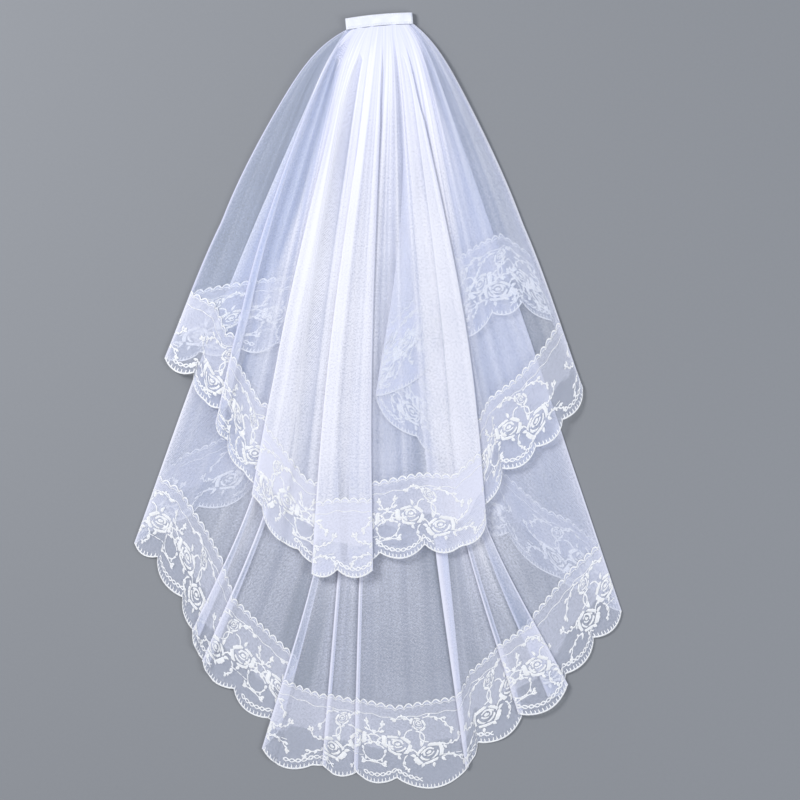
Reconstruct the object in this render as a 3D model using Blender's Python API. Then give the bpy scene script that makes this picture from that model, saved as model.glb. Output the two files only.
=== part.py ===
"""A two-tier bridal veil with wide lace edging on a short satin header band, laid out flat.

The veil lies in the XY plane with its header towards +Y and its top side towards +Z. Each tier is
one sheet of tulle. Fold lines run down it from the header to the hem, and the sheet goes to and fro
between them: a side flap turned under, an outer fold, the front with its pleats, the other outer
fold and the other flap. The layers lie one ply pitch apart, and the short tier lies on the long one.
"""

import math

import bmesh
import bpy
import numpy as np

# All sizes below are in millimetres, and this brings them to metres.
MM = 0.001

# Header band.
BAND_LENGTH = 80.0
BAND_WIDTH = 14.0
BAND_THICKNESS = 8.0
BAND_TILT = math.radians(5.2)
BAND_ARCH = 1.6
BAND_CORNER = 2.2

# Cloth.
WALL = 1.15
PLY_PITCH = 1.5
SEAM_GAP = 0.3
LACE_WIDTH = 88.0
SCALLOP_DEPTH = 0.22
SHORTEST_SCALLOP = 22.0
LINE_STEP = 15.0

# Gathers: low waves that fade out down the veil, and beside the pleats.
GATHER_WIDTH = 4.0
GATHER_HEIGHT = 2.0
GATHERS_GROW = (8.0, 60.0)
GATHERS_FADE = (200.0, 420.0)
GATHERS_FROM_PLEAT = (5.0, 12.0)

# Pleats: the least share of the hem for a pleat and for the space between two when the band is
# shared out, and the least and the most by which the fold on top lies beyond the one beneath it, at
# these distances from the header.
PLEAT_SHARE = 30.0
PLEAT_SPACE = 70.0
PLEAT_REACH = (70.0, 86.0, 102.0, 170.0)
PLEAT_LEAST_GAP = (1.6, 0.6, -1.4, -60.0)
PLEAT_MOST_GAP = (12.0, 0.6, -0.4, -0.9)

# Beside a pleat the cloth stays up a little way past the fold, and then comes down.
SETTLE_CLEAR = 2.5
SETTLE_RUN_PER_PLY = 3.2
SETTLE_FREE = 8.0
SETTLE_ROOM = 6.0
SETTLE_STEP = 1.2
LEAST_STEP = 0.5

# Plies of the lower tier beneath the upper one: at the header, and more where its pleats stand.
PLIES_AT_HEADER = 2
PLIES_OF_PLEATS = 2
PLEATS_START = 15.0
PLEATS_FULL = 70.0
DROOP_WIDTH = 45.0

# Each tier spreads out round the band, by this much on the left and on the right.
FLARE_REACH = 30.0
LOWER_FLARE = (8.0, 8.0)
UPPER_FLARE = (31.0, 20.0)

# Where the turned-under parts of a tier start along the band.
FLAP_AT_HEADER = 10.0
INNER_TURN_AT_HEADER = 60.0
INNER_EDGE_AT_HEADER = 71.0

# Rows of points: distances down from the header, then shares of the rest of the tulle, and shares
# of the lace.
HEADER_ROWS = (0.0, 25.0, 70.0, 86.0, 102.0)
TULLE_ROWS = (0.12, 0.3, 0.55, 0.8, 1.0)
LACE_ROWS = (0.0, 0.5, 1.0)
GUIDE_ROWS = np.linspace(0.0, 1.0, 31)

# One row for each fold line or scallop cusp, in the order in which they follow along the sheet.
# kind    edge: a free side edge; turn: the sheet doubles back at the side; in and out: the two
#         lines between which a pleat runs back; cusp: the point between two scallops
# ply     the layer in which the cloth goes on from this line, 0 being the lowest
# waist   a point that the line passes (across, down), and hem, where it ends
# across is measured from the middle of the header band, and down is measured from it to the hem.
COLUMNS = ("kind", "ply", "waist", "hem")
LOWER_TIER = (
    ("edge", 0, (-62, 330), (-99, 543)),
    ("cusp", 0, None, (-152, 553)),
    ("cusp", 0, None, (-215, 577)),
    ("cusp", 0, None, (-262, 594)),
    ("turn", 1, (-199, 369), (-291, 621)),
    ("cusp", 1, None, (-264, 637)),
    ("cusp", 1, None, (-234, 685)),
    ("in", 2, (-163, 610), (-214, 731)),
    ("out", 3, (-168, 608), (-225, 722)),
    ("in", 2, (-135, 594), (-203, 765)),
    ("out", 3, (-142, 592), (-215, 758)),
    ("cusp", 1, None, (-173, 794)),
    ("cusp", 0, None, (-132, 829)),
    ("in", 1, (-71, 663), (-115, 839)),
    ("out", 2, (-80, 663), (-139, 865)),
    ("cusp", 0, None, (-80, 885)),
    ("in", 1, (-46, 661), (-64, 886)),
    ("out", 2, (-52, 661), (-74, 884)),
    ("in", 1, (-20, 657), (-26, 893)),
    ("out", 2, (-27, 657), (-36, 888)),
    ("cusp", 0, None, (21, 900)),
    ("in", 1, (80, 625), (106, 887)),
    ("out", 2, (66, 625), (94, 894)),
    ("cusp", 0, (90, 619), (117, 858)),
    ("in", 2, (106, 613), (171, 822)),
    ("out", 3, (100, 614), (161, 826)),
    ("in", 2, (137, 602), (224, 789)),
    ("out", 1, (124, 606), (201, 803)),
    ("cusp", 1, None, (222, 776)),
    ("cusp", 1, None, (255, 733)),
    ("turn", 0, (228, 524), (288, 702)),
    ("cusp", 0, None, (251, 674)),
    ("cusp", 0, None, (215, 662)),
    ("cusp", 0, None, (154, 608)),
    ("edge", 0, (86, 380), (120, 602)),
)
UPPER_TIER = (
    ("edge", 1, (-62, 240), (-104, 378)),
    ("cusp", 1, None, (-124, 384)),
    ("cusp", 1, None, (-169, 387)),
    ("cusp", 1, None, (-213, 393)),
    ("turn", 2, (-187, 238), (-255, 401)),
    ("cusp", 2, None, (-220, 418)),
    ("cusp", 2, None, (-208, 451)),
    ("in", 3, (-154, 345), (-180, 457)),
    ("out", 4, (-163, 345), (-194, 478)),
    ("cusp", 2, None, (-180, 498)),
    ("cusp", 2, None, (-161, 535)),
    ("in", 3, (-100, 420), (-112, 552)),
    ("out", 4, (-124, 420), (-151, 563)),
    ("cusp", 2, None, (-139, 577)),
    ("cusp", 2, None, (-96, 628)),
    ("in", 3, (-50, 488), (-46, 643)),
    ("out", 4, (-68, 488), (-80, 657)),
    ("cusp", 4, None, (-50, 652)),
    ("in", 3, (-10, 488), (-8, 653)),
    ("out", 2, (-34, 488), (-37, 638)),
    ("cusp", 2, None, (1, 632)),
    ("cusp", 2, None, (54, 622)),
    ("cusp", 2, None, (98, 624)),
    ("in", 3, (116, 470), (127, 597)),
    ("out", 2, (87, 474), (94, 592)),
    ("cusp", 2, None, (124, 576)),
    ("cusp", 2, None, (146, 532)),
    ("cusp", 2, None, (186, 506)),
    ("cusp", 2, None, (218, 474)),
    ("turn", 1, (170, 240), (242, 437)),
    ("cusp", 1, (166, 243), (205, 356)),
    ("cusp", 1, None, (170, 334)),
    ("cusp", 1, None, (134, 347)),
    ("cusp", 1, None, (73, 375)),
    ("turn", 0, (22, 274), (-4, 446)),
    ("cusp", 0, None, (45, 494)),
    ("cusp", 0, None, (81, 518)),
    ("edge", 0, (76, 330), (114, 512)),
)


def smooth(value, start, end):
    """0 before start, 1 after end, and an even rise between them."""
    share = np.clip((np.asarray(value, float) - start) / (end - start), 0.0, 1.0)
    return share * share * (3.0 - 2.0 * share)


def header_point(along):
    """The point beside the band's lower edge that is this far from its left end."""
    run = np.asarray(along, float) - BAND_LENGTH / 2
    below = BAND_WIDTH / 2 + SEAM_GAP - BAND_ARCH * (1 - (2 * run / BAND_LENGTH) ** 2)
    cos, sin = math.cos(BAND_TILT), math.sin(BAND_TILT)
    return np.stack([run * cos + below * sin, below * cos - run * sin], axis=-1)


# The table of a tier, and what follows from it.


def table_rows(table):
    """The table's rows as dictionaries, with what follows from the rows beside each.

    before is the ply in which the cloth reaches a line, and climb is the way that a pleat goes: 1
    if the cloth comes out of it above, and -1 if it comes out beneath.
    """
    rows = [dict(zip(COLUMNS, row)) for row in table]
    length = 0.0
    for previous, row in zip([rows[0]] + rows, rows):
        length += math.dist(previous["hem"], row["hem"])
        row["at"] = length
        row["before"] = previous["ply"] if row["kind"] == "turn" else row["ply"]
    for row, after in zip(rows, rows[1:]):
        if row["kind"] == "in":
            row["climb"] = after["climb"] = after["ply"] - row["ply"]
            row["before"] = row["ply"] - row["climb"]
            after["before"] = row["ply"]
    fill_waists(rows)
    fill_headers(rows)
    return rows


def fill_waists(rows):
    """Gives each cusp a waist between those of the fold lines on its two sides."""
    lines = [row for row in rows if row["waist"] is not None]
    for row in rows:
        if row["waist"] is None:
            left = [line for line in lines if line["at"] <= row["at"]][-1]
            right = [line for line in lines if line["at"] > row["at"]][0]
            share = (row["at"] - left["at"]) / (right["at"] - left["at"])
            row["waist"] = between(left["waist"], right["waist"], share)


def between(start, end, share):
    return np.add(start, share * np.subtract(end, start))


def fill_headers(rows):
    """Shares the band out between the panels of the front, and gives the flaps their short ends."""
    turns = [index for index, row in enumerate(rows) if row["kind"] == "turn"]
    first, last = turns[:2]
    shares = [0.0]
    for row, previous in zip(rows[first + 1 : last + 1], rows[first:last]):
        share = row["at"] - previous["at"]
        if row["kind"] == "out":
            share = max(share, PLEAT_SHARE)
        elif previous["kind"] == "out" and row["kind"] == "in":
            share = max(share, PLEAT_SPACE)
        shares.append(shares[-1] + share)
    for row, share in zip(rows[first : last + 1], shares):
        row["header"] = share / shares[-1] * BAND_LENGTH
    spread_headers(rows[: first + 1], FLAP_AT_HEADER, 0.0)
    if len(turns) == 2:
        spread_headers(rows[last:], BAND_LENGTH, BAND_LENGTH - FLAP_AT_HEADER)
    else:
        spread_headers(rows[last : turns[2] + 1], BAND_LENGTH, INNER_TURN_AT_HEADER)
        spread_headers(rows[turns[2] :], INNER_TURN_AT_HEADER, INNER_EDGE_AT_HEADER)


def spread_headers(rows, start, end):
    """Spaces these rows along the band as they are spaced along the hem."""
    for row in rows:
        share = (row["at"] - rows[0]["at"]) / (rows[-1]["at"] - rows[0]["at"])
        row["header"] = start + share * (end - start)


# The lines down a tier.


def line_between(row, after, share, **more):
    """A line down the sheet at this share of the way between two rows, with its scallop."""
    hem = between(row["hem"], after["hem"], share)
    chord = math.dist(row["hem"], after["hem"])
    if chord > SHORTEST_SCALLOP:
        edge = np.subtract(after["hem"], row["hem"]) / chord
        normal = np.array([edge[1], -edge[0]])
        outward = normal * (normal @ hem) / np.linalg.norm(hem)
        hem = hem + outward * chord * SCALLOP_DEPTH * math.sin(math.pi * share) ** 0.8
    line = {"hem": hem, "waist": between(row["waist"], after["waist"], share)}
    line["header"] = row["header"] + share * (after["header"] - row["header"])
    return line | {"gather": 0.0, "bulge": 0.0, "heading": 0.0, "fold": False} | more


def panel_lines(row, after, front, raised):
    """The lines between two rows. raised is the floor of the pleats, where the panel is on them."""
    start = after["before"] if row["kind"] == "out" and raised is None else row["ply"]
    onto_drop = after["kind"] == "in" and after["climb"] < 0 and raised is None
    end = start if onto_drop else after["before"]
    width = abs(after["header"] - row["header"])
    gathers = round(width / GATHER_WIDTH) if front and raised is None and start == end else 0
    lines = []
    for share in even_shares(row, after):
        ply = start + smooth(share, 0.05, 0.85) * (end - start)
        gather = math.sin(math.pi * gathers * share) ** 2
        floor = ply if raised is None else raised
        lines.append(line_between(row, after, share, ply=ply, floor=floor, gather=gather))
    return lines


def even_shares(row, after):
    steps = max(1, math.ceil((after["at"] - row["at"]) / LINE_STEP))
    return np.arange(1, steps) / steps


def sheet_lines(rows):
    """All the lines down one tier in order, and its pleats.

    ply is a line's layer where the pleats stand up, and floor its layer above them. A side fold has
    three lines: heading is the way in which the cloth goes on there, in degrees from 0, to the
    right, over 90, up, to 180, to the left, and bulge is 1 where it bends out to the right.
    """
    turns = [index for index, row in enumerate(rows) if row["kind"] == "turn"]
    lines, pleats, raised, goes_left = [], [], None, True
    for index, row in enumerate(rows):
        if index and rows[index - 1]["kind"] == "in":
            shares = even_shares(rows[index - 1], row)
            lines += [line_between(rows[index - 1], row, share, fold=True) for share in shares]
        elif index:
            lines += panel_lines(rows[index - 1], row, turns[0] < index <= turns[1], raised)
        if row["kind"] in ("edge", "cusp"):
            floor = row["ply"] if raised is None else raised
            lines.append(line_between(row, row, 0.0, ply=row["ply"], floor=floor))
        elif row["kind"] == "turn":
            climb = row["ply"] - row["before"]
            for step, way in enumerate((180.0, 90.0, 0.0) if goes_left else (0.0, 90.0, 180.0)):
                ply = row["before"] + climb * step / 2
                bulge = (step % 2) * (-1.0 if goes_left else 1.0)
                more = {"ply": ply, "floor": ply, "bulge": bulge, "heading": climb * way}
                lines.append(line_between(row, row, 0.0, fold=True, **more))
            goes_left = not goes_left
        else:
            if row["kind"] == "in":
                floor = min(row["before"], row["before"] + 2 * row["climb"])
                pleats.append({"first": len(lines), "climb": row["climb"], "floor": floor})
            lines += [line_between(row, row, 0.0, fold=True) for _ in range(3)]
        if row["kind"] == "out":
            pleats[-1]["last"] = len(lines) - 1
            stays_up = row["climb"] > 0 and rows[index + 1]["before"] == row["ply"]
            raised = pleats[-1]["floor"] if stays_up else None
    return lines, pleats


def hermite(start, end, slope_start, slope_end, span, t):
    """A cubic from start to end over this span of t, with these slopes."""
    u = np.clip(t / span, 0, 1)[..., None]
    run = np.asarray(span)[..., None]
    held = start * (2 * u**3 - 3 * u**2 + 1) + end * (3 * u**2 - 2 * u**3)
    return held + slope_start * run * (u**3 - 2 * u**2 + u) + slope_end * run * (u**3 - u**2)


def line_ends(lines):
    """The lines' header points, waists, hem points and two lengths, above and below the waist."""
    header = header_point(np.array([line["header"] for line in lines]))
    waist = np.array([line["waist"] for line in lines], float)
    hem = np.array([line["hem"] for line in lines], float)
    return header, waist, hem, np.linalg.norm(waist - header, axis=1), np.linalg.norm(hem - waist, axis=1)


def down_the_lines(lines, t, flare):
    """Points (line, row, 2) at these shares t (line, row) of each line, from header to hem."""
    header, waist, hem, upper, lower = line_ends(lines)
    length = (upper + lower)[:, None]
    bend = upper[:, None] / length
    slope_up, slope_low = (waist - header) / bend, (hem - waist) / (1 - bend)
    slope = slope_up * (1 - bend) + slope_low * bend
    header, waist, hem, slope_up, slope_low, slope = (
        part[:, None] for part in (header, waist, hem, slope_up, slope_low, slope)
    )
    above = hermite(header, waist, slope_up, slope, bend, t)
    below = hermite(waist, hem, slope, slope_low, 1 - bend, t - bend)
    points = np.where((t <= bend)[..., None], above, below)
    side = np.array([2 * line["header"] / BAND_LENGTH - 1 for line in lines])[:, None]
    width = np.where(side < 0, flare[0], flare[1]) * side
    points[..., 0] += width * (1 - np.exp(-t * length / FLARE_REACH)) * np.clip(1 - t / bend, 0, 1)
    return points


def across_of(points):
    """Unit vectors across the lines, towards the right."""
    along = np.gradient(points, axis=1)
    along /= np.linalg.norm(along, axis=-1, keepdims=True)
    return np.stack([along[..., 1], -along[..., 0]], axis=-1)


def beside(plan, line, flare):
    """How far each point lies to the right of a line."""
    guide = down_the_lines([line], GUIDE_ROWS[None], flare)
    across = across_of(guide)[0]
    step = plan[..., None, :] - guide[0]
    nearest = np.argmin(np.linalg.norm(step, axis=-1), axis=-1)
    step = np.take_along_axis(step, nearest[..., None, None], axis=-2)[..., 0, :]
    return np.sum(step * across[nearest], axis=-1)


# A tier's mid-surface, as columns of points down its lines.


def pleat_curve(gap, rise, count):
    """An S of two bends and the straight between them, from one level up to another.

    gap is how far its upper end lies beyond its lower one. Yields the distance across, the height
    and the heading at each of count points.
    """
    radius = PLY_PITCH / 2
    centres = np.hypot(gap, rise - 2 * radius)
    lean = np.arctan2(rise - 2 * radius, gap) + np.arcsin(np.minimum(2 * radius / centres, 1))
    straight = np.sqrt(np.maximum(centres**2 - 4 * radius**2, 0))
    bend = radius * lean
    length = 2 * bend + straight
    evenly = 1 - smooth(lean, 0, math.radians(60))
    for index in range(count):
        if index < 3:
            at = bend * index / 2
        elif index >= count - 3:
            at = length - bend * (count - 1 - index) / 2
        else:
            at = bend + straight * (index - 2) / (count - 5)
        at = at + evenly * (length * index / (count - 1) - at)
        first = np.clip(at / radius, 0, lean)
        along = np.clip(at - bend, 0, straight)
        last = np.clip((at - bend - straight) / radius, 0, lean)
        across = radius * (np.sin(first) + np.sin(lean) - np.sin(lean - last)) + along * np.cos(lean)
        up = radius * (1 - np.cos(first) + np.cos(lean - last) - np.cos(lean)) + along * np.sin(lean)
        yield across, up, np.degrees(first - last)


def fold_pleat(pleat, columns, reach):
    """Lays the columns of a pleat along its curve.

    The pleat climbs as soon as it leaves the gathers, leans back further down, and then lies flat.
    """
    strip = columns[pleat["first"] : pleat["last"] + 1]
    start, end, across = strip[0]["plan"], strip[-1]["plan"], strip[0]["across"]
    along = np.stack([-across[:, 1], across[:, 0]], axis=-1)
    gap = np.sum((end - start) * across, axis=-1)
    least, most = (np.interp(reach, PLEAT_REACH, gaps) for gaps in (PLEAT_LEAST_GAP, PLEAT_MOST_GAP))
    allowed = np.clip(gap, least, most)
    origin = start + across * ((gap - allowed) / 2)[:, None]
    curve = pleat_curve(allowed, 2 * PLY_PITCH * pleat["lift"], len(strip))
    climb, bottom = pleat["climb"], pleat["floor"] if pleat["climb"] > 0 else pleat["top"]
    opened = smooth(allowed, 0, PLEAT_LEAST_GAP[0])
    length_on = np.sum((end - start) * along, axis=-1)
    for index, (column, (beyond, up, heading)) in enumerate(zip(strip, curve)):
        down = np.sum((column["plan"] - start) * along, axis=-1)
        down += opened * (length_on * index / (len(strip) - 1) - down)
        column["plan"] = origin + across * beyond[:, None] + along * down[:, None]
        column["across"] = across
        column["ply"] = bottom + climb * up / PLY_PITCH
        column["heading"] = climb * heading


def to_next_fold(lines, index, way):
    """The indices of the lines from this one to the next fold, that way along the sheet."""
    found = [index + way]
    while not lines[found[-1]]["fold"]:
        found.append(found[-1] + way)
    return found


def settle(pleat, lines, columns, flare):
    """Brings the front down beside a pleat to the layer next to it, a little way past the fold.

    Returns the columns to put in, by the index of the column that they follow. A column that is
    too near the slope is taken out.
    """
    climbs = pleat["climb"] > 0
    edge, guide, way = (pleat["last"], pleat["first"], 1) if climbs else (pleat["first"], pleat["last"], -1)
    found = to_next_fold(lines, edge, way)
    if len(found) > 1 and lines[found[0]]["floor"] != lines[found[0]]["ply"]:
        return {}
    guide = lines[guide]
    clear = [way * beside(np.array(lines[index]["hem"], float), guide, flare) for index in found]
    inner = [index for index, distance in zip(found[:-1], clear) if distance < SETTLE_CLEAR / 2]
    outer = next((i for i, distance in zip(found, clear) if distance > SETTLE_FREE), found[-1])
    near = inner[-1] if inner else edge
    for index in inner:
        columns[index]["ply"] = pleat["top"]
    for index in range(near + way, outer, way):
        columns[index] = None
    make_room(pleat, [edge, *inner], found[found.index(outer) :], columns, guide, way, flare)
    inside, outside = columns[near], columns[outer]
    start, end = (way * beside(column["plan"], guide, flare) for column in (inside, outside))
    from_here = np.maximum(start, 0)
    room = end - from_here
    crest = from_here + np.minimum(SETTLE_CLEAR, 0.24 * room)
    plies = np.maximum(pleat["top"] - outside["ply"], 1)
    foot = crest + np.minimum(SETTLE_RUN_PER_PLY * plies, 0.54 * room)
    added = []
    for distance, ply in ((crest, pleat["top"]), (foot, outside["ply"])):
        share = ((distance - start) / (end - start))[:, None]
        plan = between(inside["plan"], outside["plan"], share)
        across = inside["across"]
        added.append({"plan": plan, "across": across, "ply": ply, "gather": 0.0, "heading": None})
    return {near if climbs else outer: added[::way]}


def make_room(pleat, inner, outer, columns, guide, way, flare):
    """Moves the columns on the two sides of a slope apart.

    The first of the inner ones and the last of the outer ones are folds, and stay.
    """

    def place(index, clear, wanted):
        shift = way * (wanted - clear)[:, None]
        columns[index]["plan"] = columns[index]["plan"] + columns[index]["across"] * shift

    clear = {index: way * beside(columns[index]["plan"], guide, flare) for index in (*inner, *outer)}
    for step, index in enumerate(inner[1:], start=1):
        most = np.maximum(clear[inner[0]], 0) + step * LEAST_STEP
        place(index, clear[index], clear[index] + pleat["lift"] * np.minimum(most - clear[index], 0))
    width, before = clear[outer[-1]], np.zeros(len(pleat["lift"]))
    for step, index in enumerate(outer[:-1], start=1):
        wanted = np.minimum(SETTLE_ROOM + step * SETTLE_STEP, width * (0.4 + 0.5 * step / len(outer)))
        least = np.maximum(pleat["lift"] * wanted, before + LEAST_STEP)
        before = np.minimum(np.maximum(clear[index], least), width - LEAST_STEP * (len(outer) - step))
        place(index, clear[index], before)


def flatten_gathers(pleat, lines, columns, flare):
    """Takes the gathers out of the cloth beside a pleat and under it."""
    for edge, guide, way in ((pleat["first"], pleat["last"], -1), (pleat["last"], pleat["first"], 1)):
        for index in to_next_fold(lines, edge, way)[:-1]:
            if columns[index] is not None:
                clear = way * beside(columns[index]["plan"], lines[guide], flare)
                columns[index]["gather"] = columns[index]["gather"] * smooth(clear, *GATHERS_FROM_PLEAT)


def lay_sheet(rows, rows_down, flare, base):
    """Mid-surface points (line, row, 3) and unit normals of one tier's tulle or lace."""
    lines, pleats = sheet_lines(rows)
    *_, upper, lower = line_ends(lines)
    length = (upper + lower)[:, None]
    t = rows_down(length)
    reach = t * length
    lift = smooth(reach, PLEATS_START, PLEATS_FULL)
    points = down_the_lines(lines, t, flare)
    columns = []
    for line, plan, across, risen in zip(lines, points, across_of(points), lift):
        column = {"plan": plan + across * line["bulge"] * PLY_PITCH / 2, "across": across}
        column["gather"] = line["gather"]
        column["heading"] = line["heading"] if line["bulge"] or line["heading"] else None
        if "ply" in line:
            column["ply"] = line["floor"] + risen * (line["ply"] - line["floor"])
        columns.append(column)
    for pleat in pleats:
        pleat["lift"] = lift[pleat["first"]]
        pleat["top"] = pleat["floor"] + 2 * pleat["lift"]
        fold_pleat(pleat, columns, reach[pleat["first"]])
    added = {}
    for pleat in pleats:
        added |= settle(pleat, lines, columns, flare)
        flatten_gathers(pleat, lines, columns, flare)
    laid = []
    for index, column in enumerate(columns):
        laid += [column] if column else []
        laid += added.get(index, [])
    plan = np.array([column["plan"] for column in laid])
    reach = beyond_band(plan)
    height = GATHER_HEIGHT * smooth(reach, *GATHERS_GROW) * (1 - smooth(reach, *GATHERS_FADE))
    z = WALL / 2 + base(plan) + height * np.stack([column["gather"] + 0 * lift[0] for column in laid])
    z += PLY_PITCH * np.stack([column["ply"] for column in laid])
    grid = np.concatenate([plan, z[..., None]], axis=-1)
    return grid, normals_of(grid, laid)


def normals_of(grid, columns):
    """Unit normals: the surface's own, and through a fold those of its heading."""
    normal = np.cross(np.gradient(grid, axis=0), np.gradient(grid, axis=1))
    normal /= np.linalg.norm(normal, axis=-1, keepdims=True)
    for index, column in enumerate(columns):
        if column["heading"] is not None:
            turn = np.radians(column["heading"])
            sideways = -np.sin(turn) * column["across"].T
            normal[index] = np.stack([*sideways, np.cos(turn) + 0 * sideways[0]], axis=-1)
    return normal


def tulle_shares(length):
    """Shares of each line's length for the rows of the tulle, which ends where the lace starts."""
    first = np.array(HEADER_ROWS) / length
    start = first[:, -1:]
    rest = start + np.array(TULLE_ROWS) * (1 - LACE_WIDTH / length - start)
    return np.concatenate([first, rest], axis=1)


def lace_shares(length):
    """Shares of each line's length for the rows of the lace, down to its scalloped edge."""
    start = 1 - (LACE_WIDTH - SEAM_GAP) / length
    return start + np.array(LACE_ROWS) * (1 - start)


# What each tier lies on.


def beyond_band(plan):
    """Distance in plan from the lower edge of the header band."""
    cos, sin = math.cos(BAND_TILT), math.sin(BAND_TILT)
    run = plan[..., 0] * cos - plan[..., 1] * sin
    below = plan[..., 0] * sin + plan[..., 1] * cos - BAND_WIDTH / 2
    return np.hypot(np.maximum(np.abs(run) - BAND_LENGTH / 2, 0), np.maximum(below, 0))


def on_the_ground(plan):
    return np.zeros(plan.shape[:-1])


def upper_base(rows):
    """Gives the height on which the upper tier lies: the lower tier, and the ground beside it."""
    lines, _ = sheet_lines(rows)
    left, right = [line for line in lines if line["bulge"] and line["header"] in (0.0, BAND_LENGTH)]
    edges = [down_the_lines([line], GUIDE_ROWS[None], LOWER_FLARE)[0] for line in (left, right)]

    def base(plan):
        plies = PLIES_AT_HEADER + PLIES_OF_PLEATS * smooth(beyond_band(plan), PLEATS_START, PLEATS_FULL)
        left_edge, right_edge = (np.interp(plan[..., 1], edge[:, 1], edge[:, 0]) for edge in edges)
        outside = np.maximum(left_edge - plan[..., 0], plan[..., 0] - right_edge)
        return PLY_PITCH * plies * (1 - smooth(outside, 0, DROOP_WIDTH))

    return base


# Solids.


def finished_mesh(name, bm):
    bmesh.ops.recalc_face_normals(bm, faces=bm.faces)
    bmesh.ops.triangulate(bm, faces=bm.faces, quad_method="SHORT_EDGE")
    mesh = bpy.data.meshes.new(name)
    bm.to_mesh(mesh)
    bm.free()
    return mesh


def wall_mesh(name, grid, normal, to_world):
    """A closed wall of the cloth's thickness about a mid-surface grid."""
    lines, rows = grid.shape[:2]
    bm = bmesh.new()
    top, bottom = (
        [[bm.verts.new(to_world(skin[i, j])) for j in range(rows)] for i in range(lines)]
        for skin in (grid + normal * WALL / 2, grid - normal * WALL / 2)
    )
    for i in range(lines - 1):
        for j in range(rows - 1):
            bm.faces.new((top[i][j], top[i + 1][j], top[i + 1][j + 1], top[i][j + 1]))
            bm.faces.new((bottom[i][j], bottom[i][j + 1], bottom[i + 1][j + 1], bottom[i + 1][j]))
    for j in range(rows - 1):
        bm.faces.new((top[0][j], top[0][j + 1], bottom[0][j + 1], bottom[0][j]))
        bm.faces.new((top[-1][j + 1], top[-1][j], bottom[-1][j], bottom[-1][j + 1]))
    for i in range(lines - 1):
        bm.faces.new((top[i + 1][0], top[i][0], bottom[i][0], bottom[i + 1][0]))
        bm.faces.new((top[i][-1], top[i + 1][-1], bottom[i + 1][-1], bottom[i][-1]))
    return finished_mesh(name, bm)


def band_mesh(name, to_world):
    """The header band: a rounded bar of satin, slightly arched towards its upper edge."""
    run_steps, corner_steps = 12, 3
    cos, sin = math.cos(BAND_TILT), math.sin(BAND_TILT)
    bm = bmesh.new()
    rings = []
    for run in np.linspace(-BAND_LENGTH / 2, BAND_LENGTH / 2, run_steps + 1):
        arch = BAND_ARCH * (1 - (2 * run / BAND_LENGTH) ** 2)
        ring = []
        for side, top, start in ((1, 1, 0), (-1, 1, 90), (-1, -1, 180), (1, -1, 270)):
            for angle in np.radians(start + np.linspace(0, 90, corner_steps + 1)):
                down = side * (BAND_WIDTH / 2 - BAND_CORNER) + BAND_CORNER * math.cos(angle) - arch
                high = BAND_THICKNESS / 2 + top * (BAND_THICKNESS / 2 - BAND_CORNER) + BAND_CORNER * math.sin(angle)
                ring.append(bm.verts.new(to_world((run * cos + down * sin, down * cos - run * sin, high))))
        rings.append(ring)
    for one, other in zip(rings, rings[1:]):
        for k in range(len(one)):
            bm.faces.new((one[k], one[k - 1], other[k - 1], other[k]))
    bm.faces.new(rings[0])
    bm.faces.new(rings[-1][::-1])
    return finished_mesh(name, bm)


def material(name, colour, roughness):
    made = bpy.data.materials.new(name)
    made.use_nodes = True
    shader = made.node_tree.nodes["Principled BSDF"]
    shader.inputs["Base Color"].default_value = (*colour, 1.0)
    shader.inputs["Roughness"].default_value = roughness
    shader.inputs["Metallic"].default_value = 0.0
    return made


def add(name, mesh, look):
    mesh.materials.append(look)
    bpy.context.scene.collection.objects.link(bpy.data.objects.new(name, mesh))


def main():
    for obj in list(bpy.data.objects):
        bpy.data.objects.remove(obj, do_unlink=True)
    looks = {
        "tulle": material("tulle", (0.80, 0.84, 0.95), 0.85),
        "lace": material("lace", (0.90, 0.92, 0.97), 0.75),
    }
    satin = material("satin", (0.86, 0.89, 0.97), 0.35)

    lower, upper = table_rows(LOWER_TIER), table_rows(UPPER_TIER)
    tiers = (
        ("lower_tier", lower, LOWER_FLARE, on_the_ground),
        ("upper_tier", upper, UPPER_FLARE, upper_base(lower)),
    )
    sheets = {}
    for name, rows, flare, base in tiers:
        sheets[name + "_tulle"] = lay_sheet(rows, tulle_shares, flare, base)
        sheets[name + "_lace"] = lay_sheet(rows, lace_shares, flare, base)

    # The origin is under the middle of the laid veil.
    plan = np.concatenate([grid[..., :2].reshape(-1, 2) for grid, _ in sheets.values()])
    low, high = plan.min(axis=0), plan.max(axis=0)
    low[1] = -BAND_WIDTH / 2
    middle = (low + high) / 2

    def to_world(point):
        return ((point[0] - middle[0]) * MM, (middle[1] - point[1]) * MM, point[2] * MM)

    for name, (grid, normal) in sheets.items():
        add(name, wall_mesh(name, grid, normal, to_world), looks[name.split("_")[-1]])
    add("header_band", band_mesh("header_band", to_world), satin)


main()
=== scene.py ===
"""Looks of the bridal veil, laid out flat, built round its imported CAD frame.

The tulle and the lace are thin sheets that run where the CAD walls run. Their folds come from the
same tables and the same fold functions as the walls, in finer steps. The net, the density of the
gathers and the weave are in the materials, and the embroidery of the lace is real thread work that
follows the lace through its folds. Sizes are in millimetres unless a name says otherwise.
"""

import math

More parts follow.
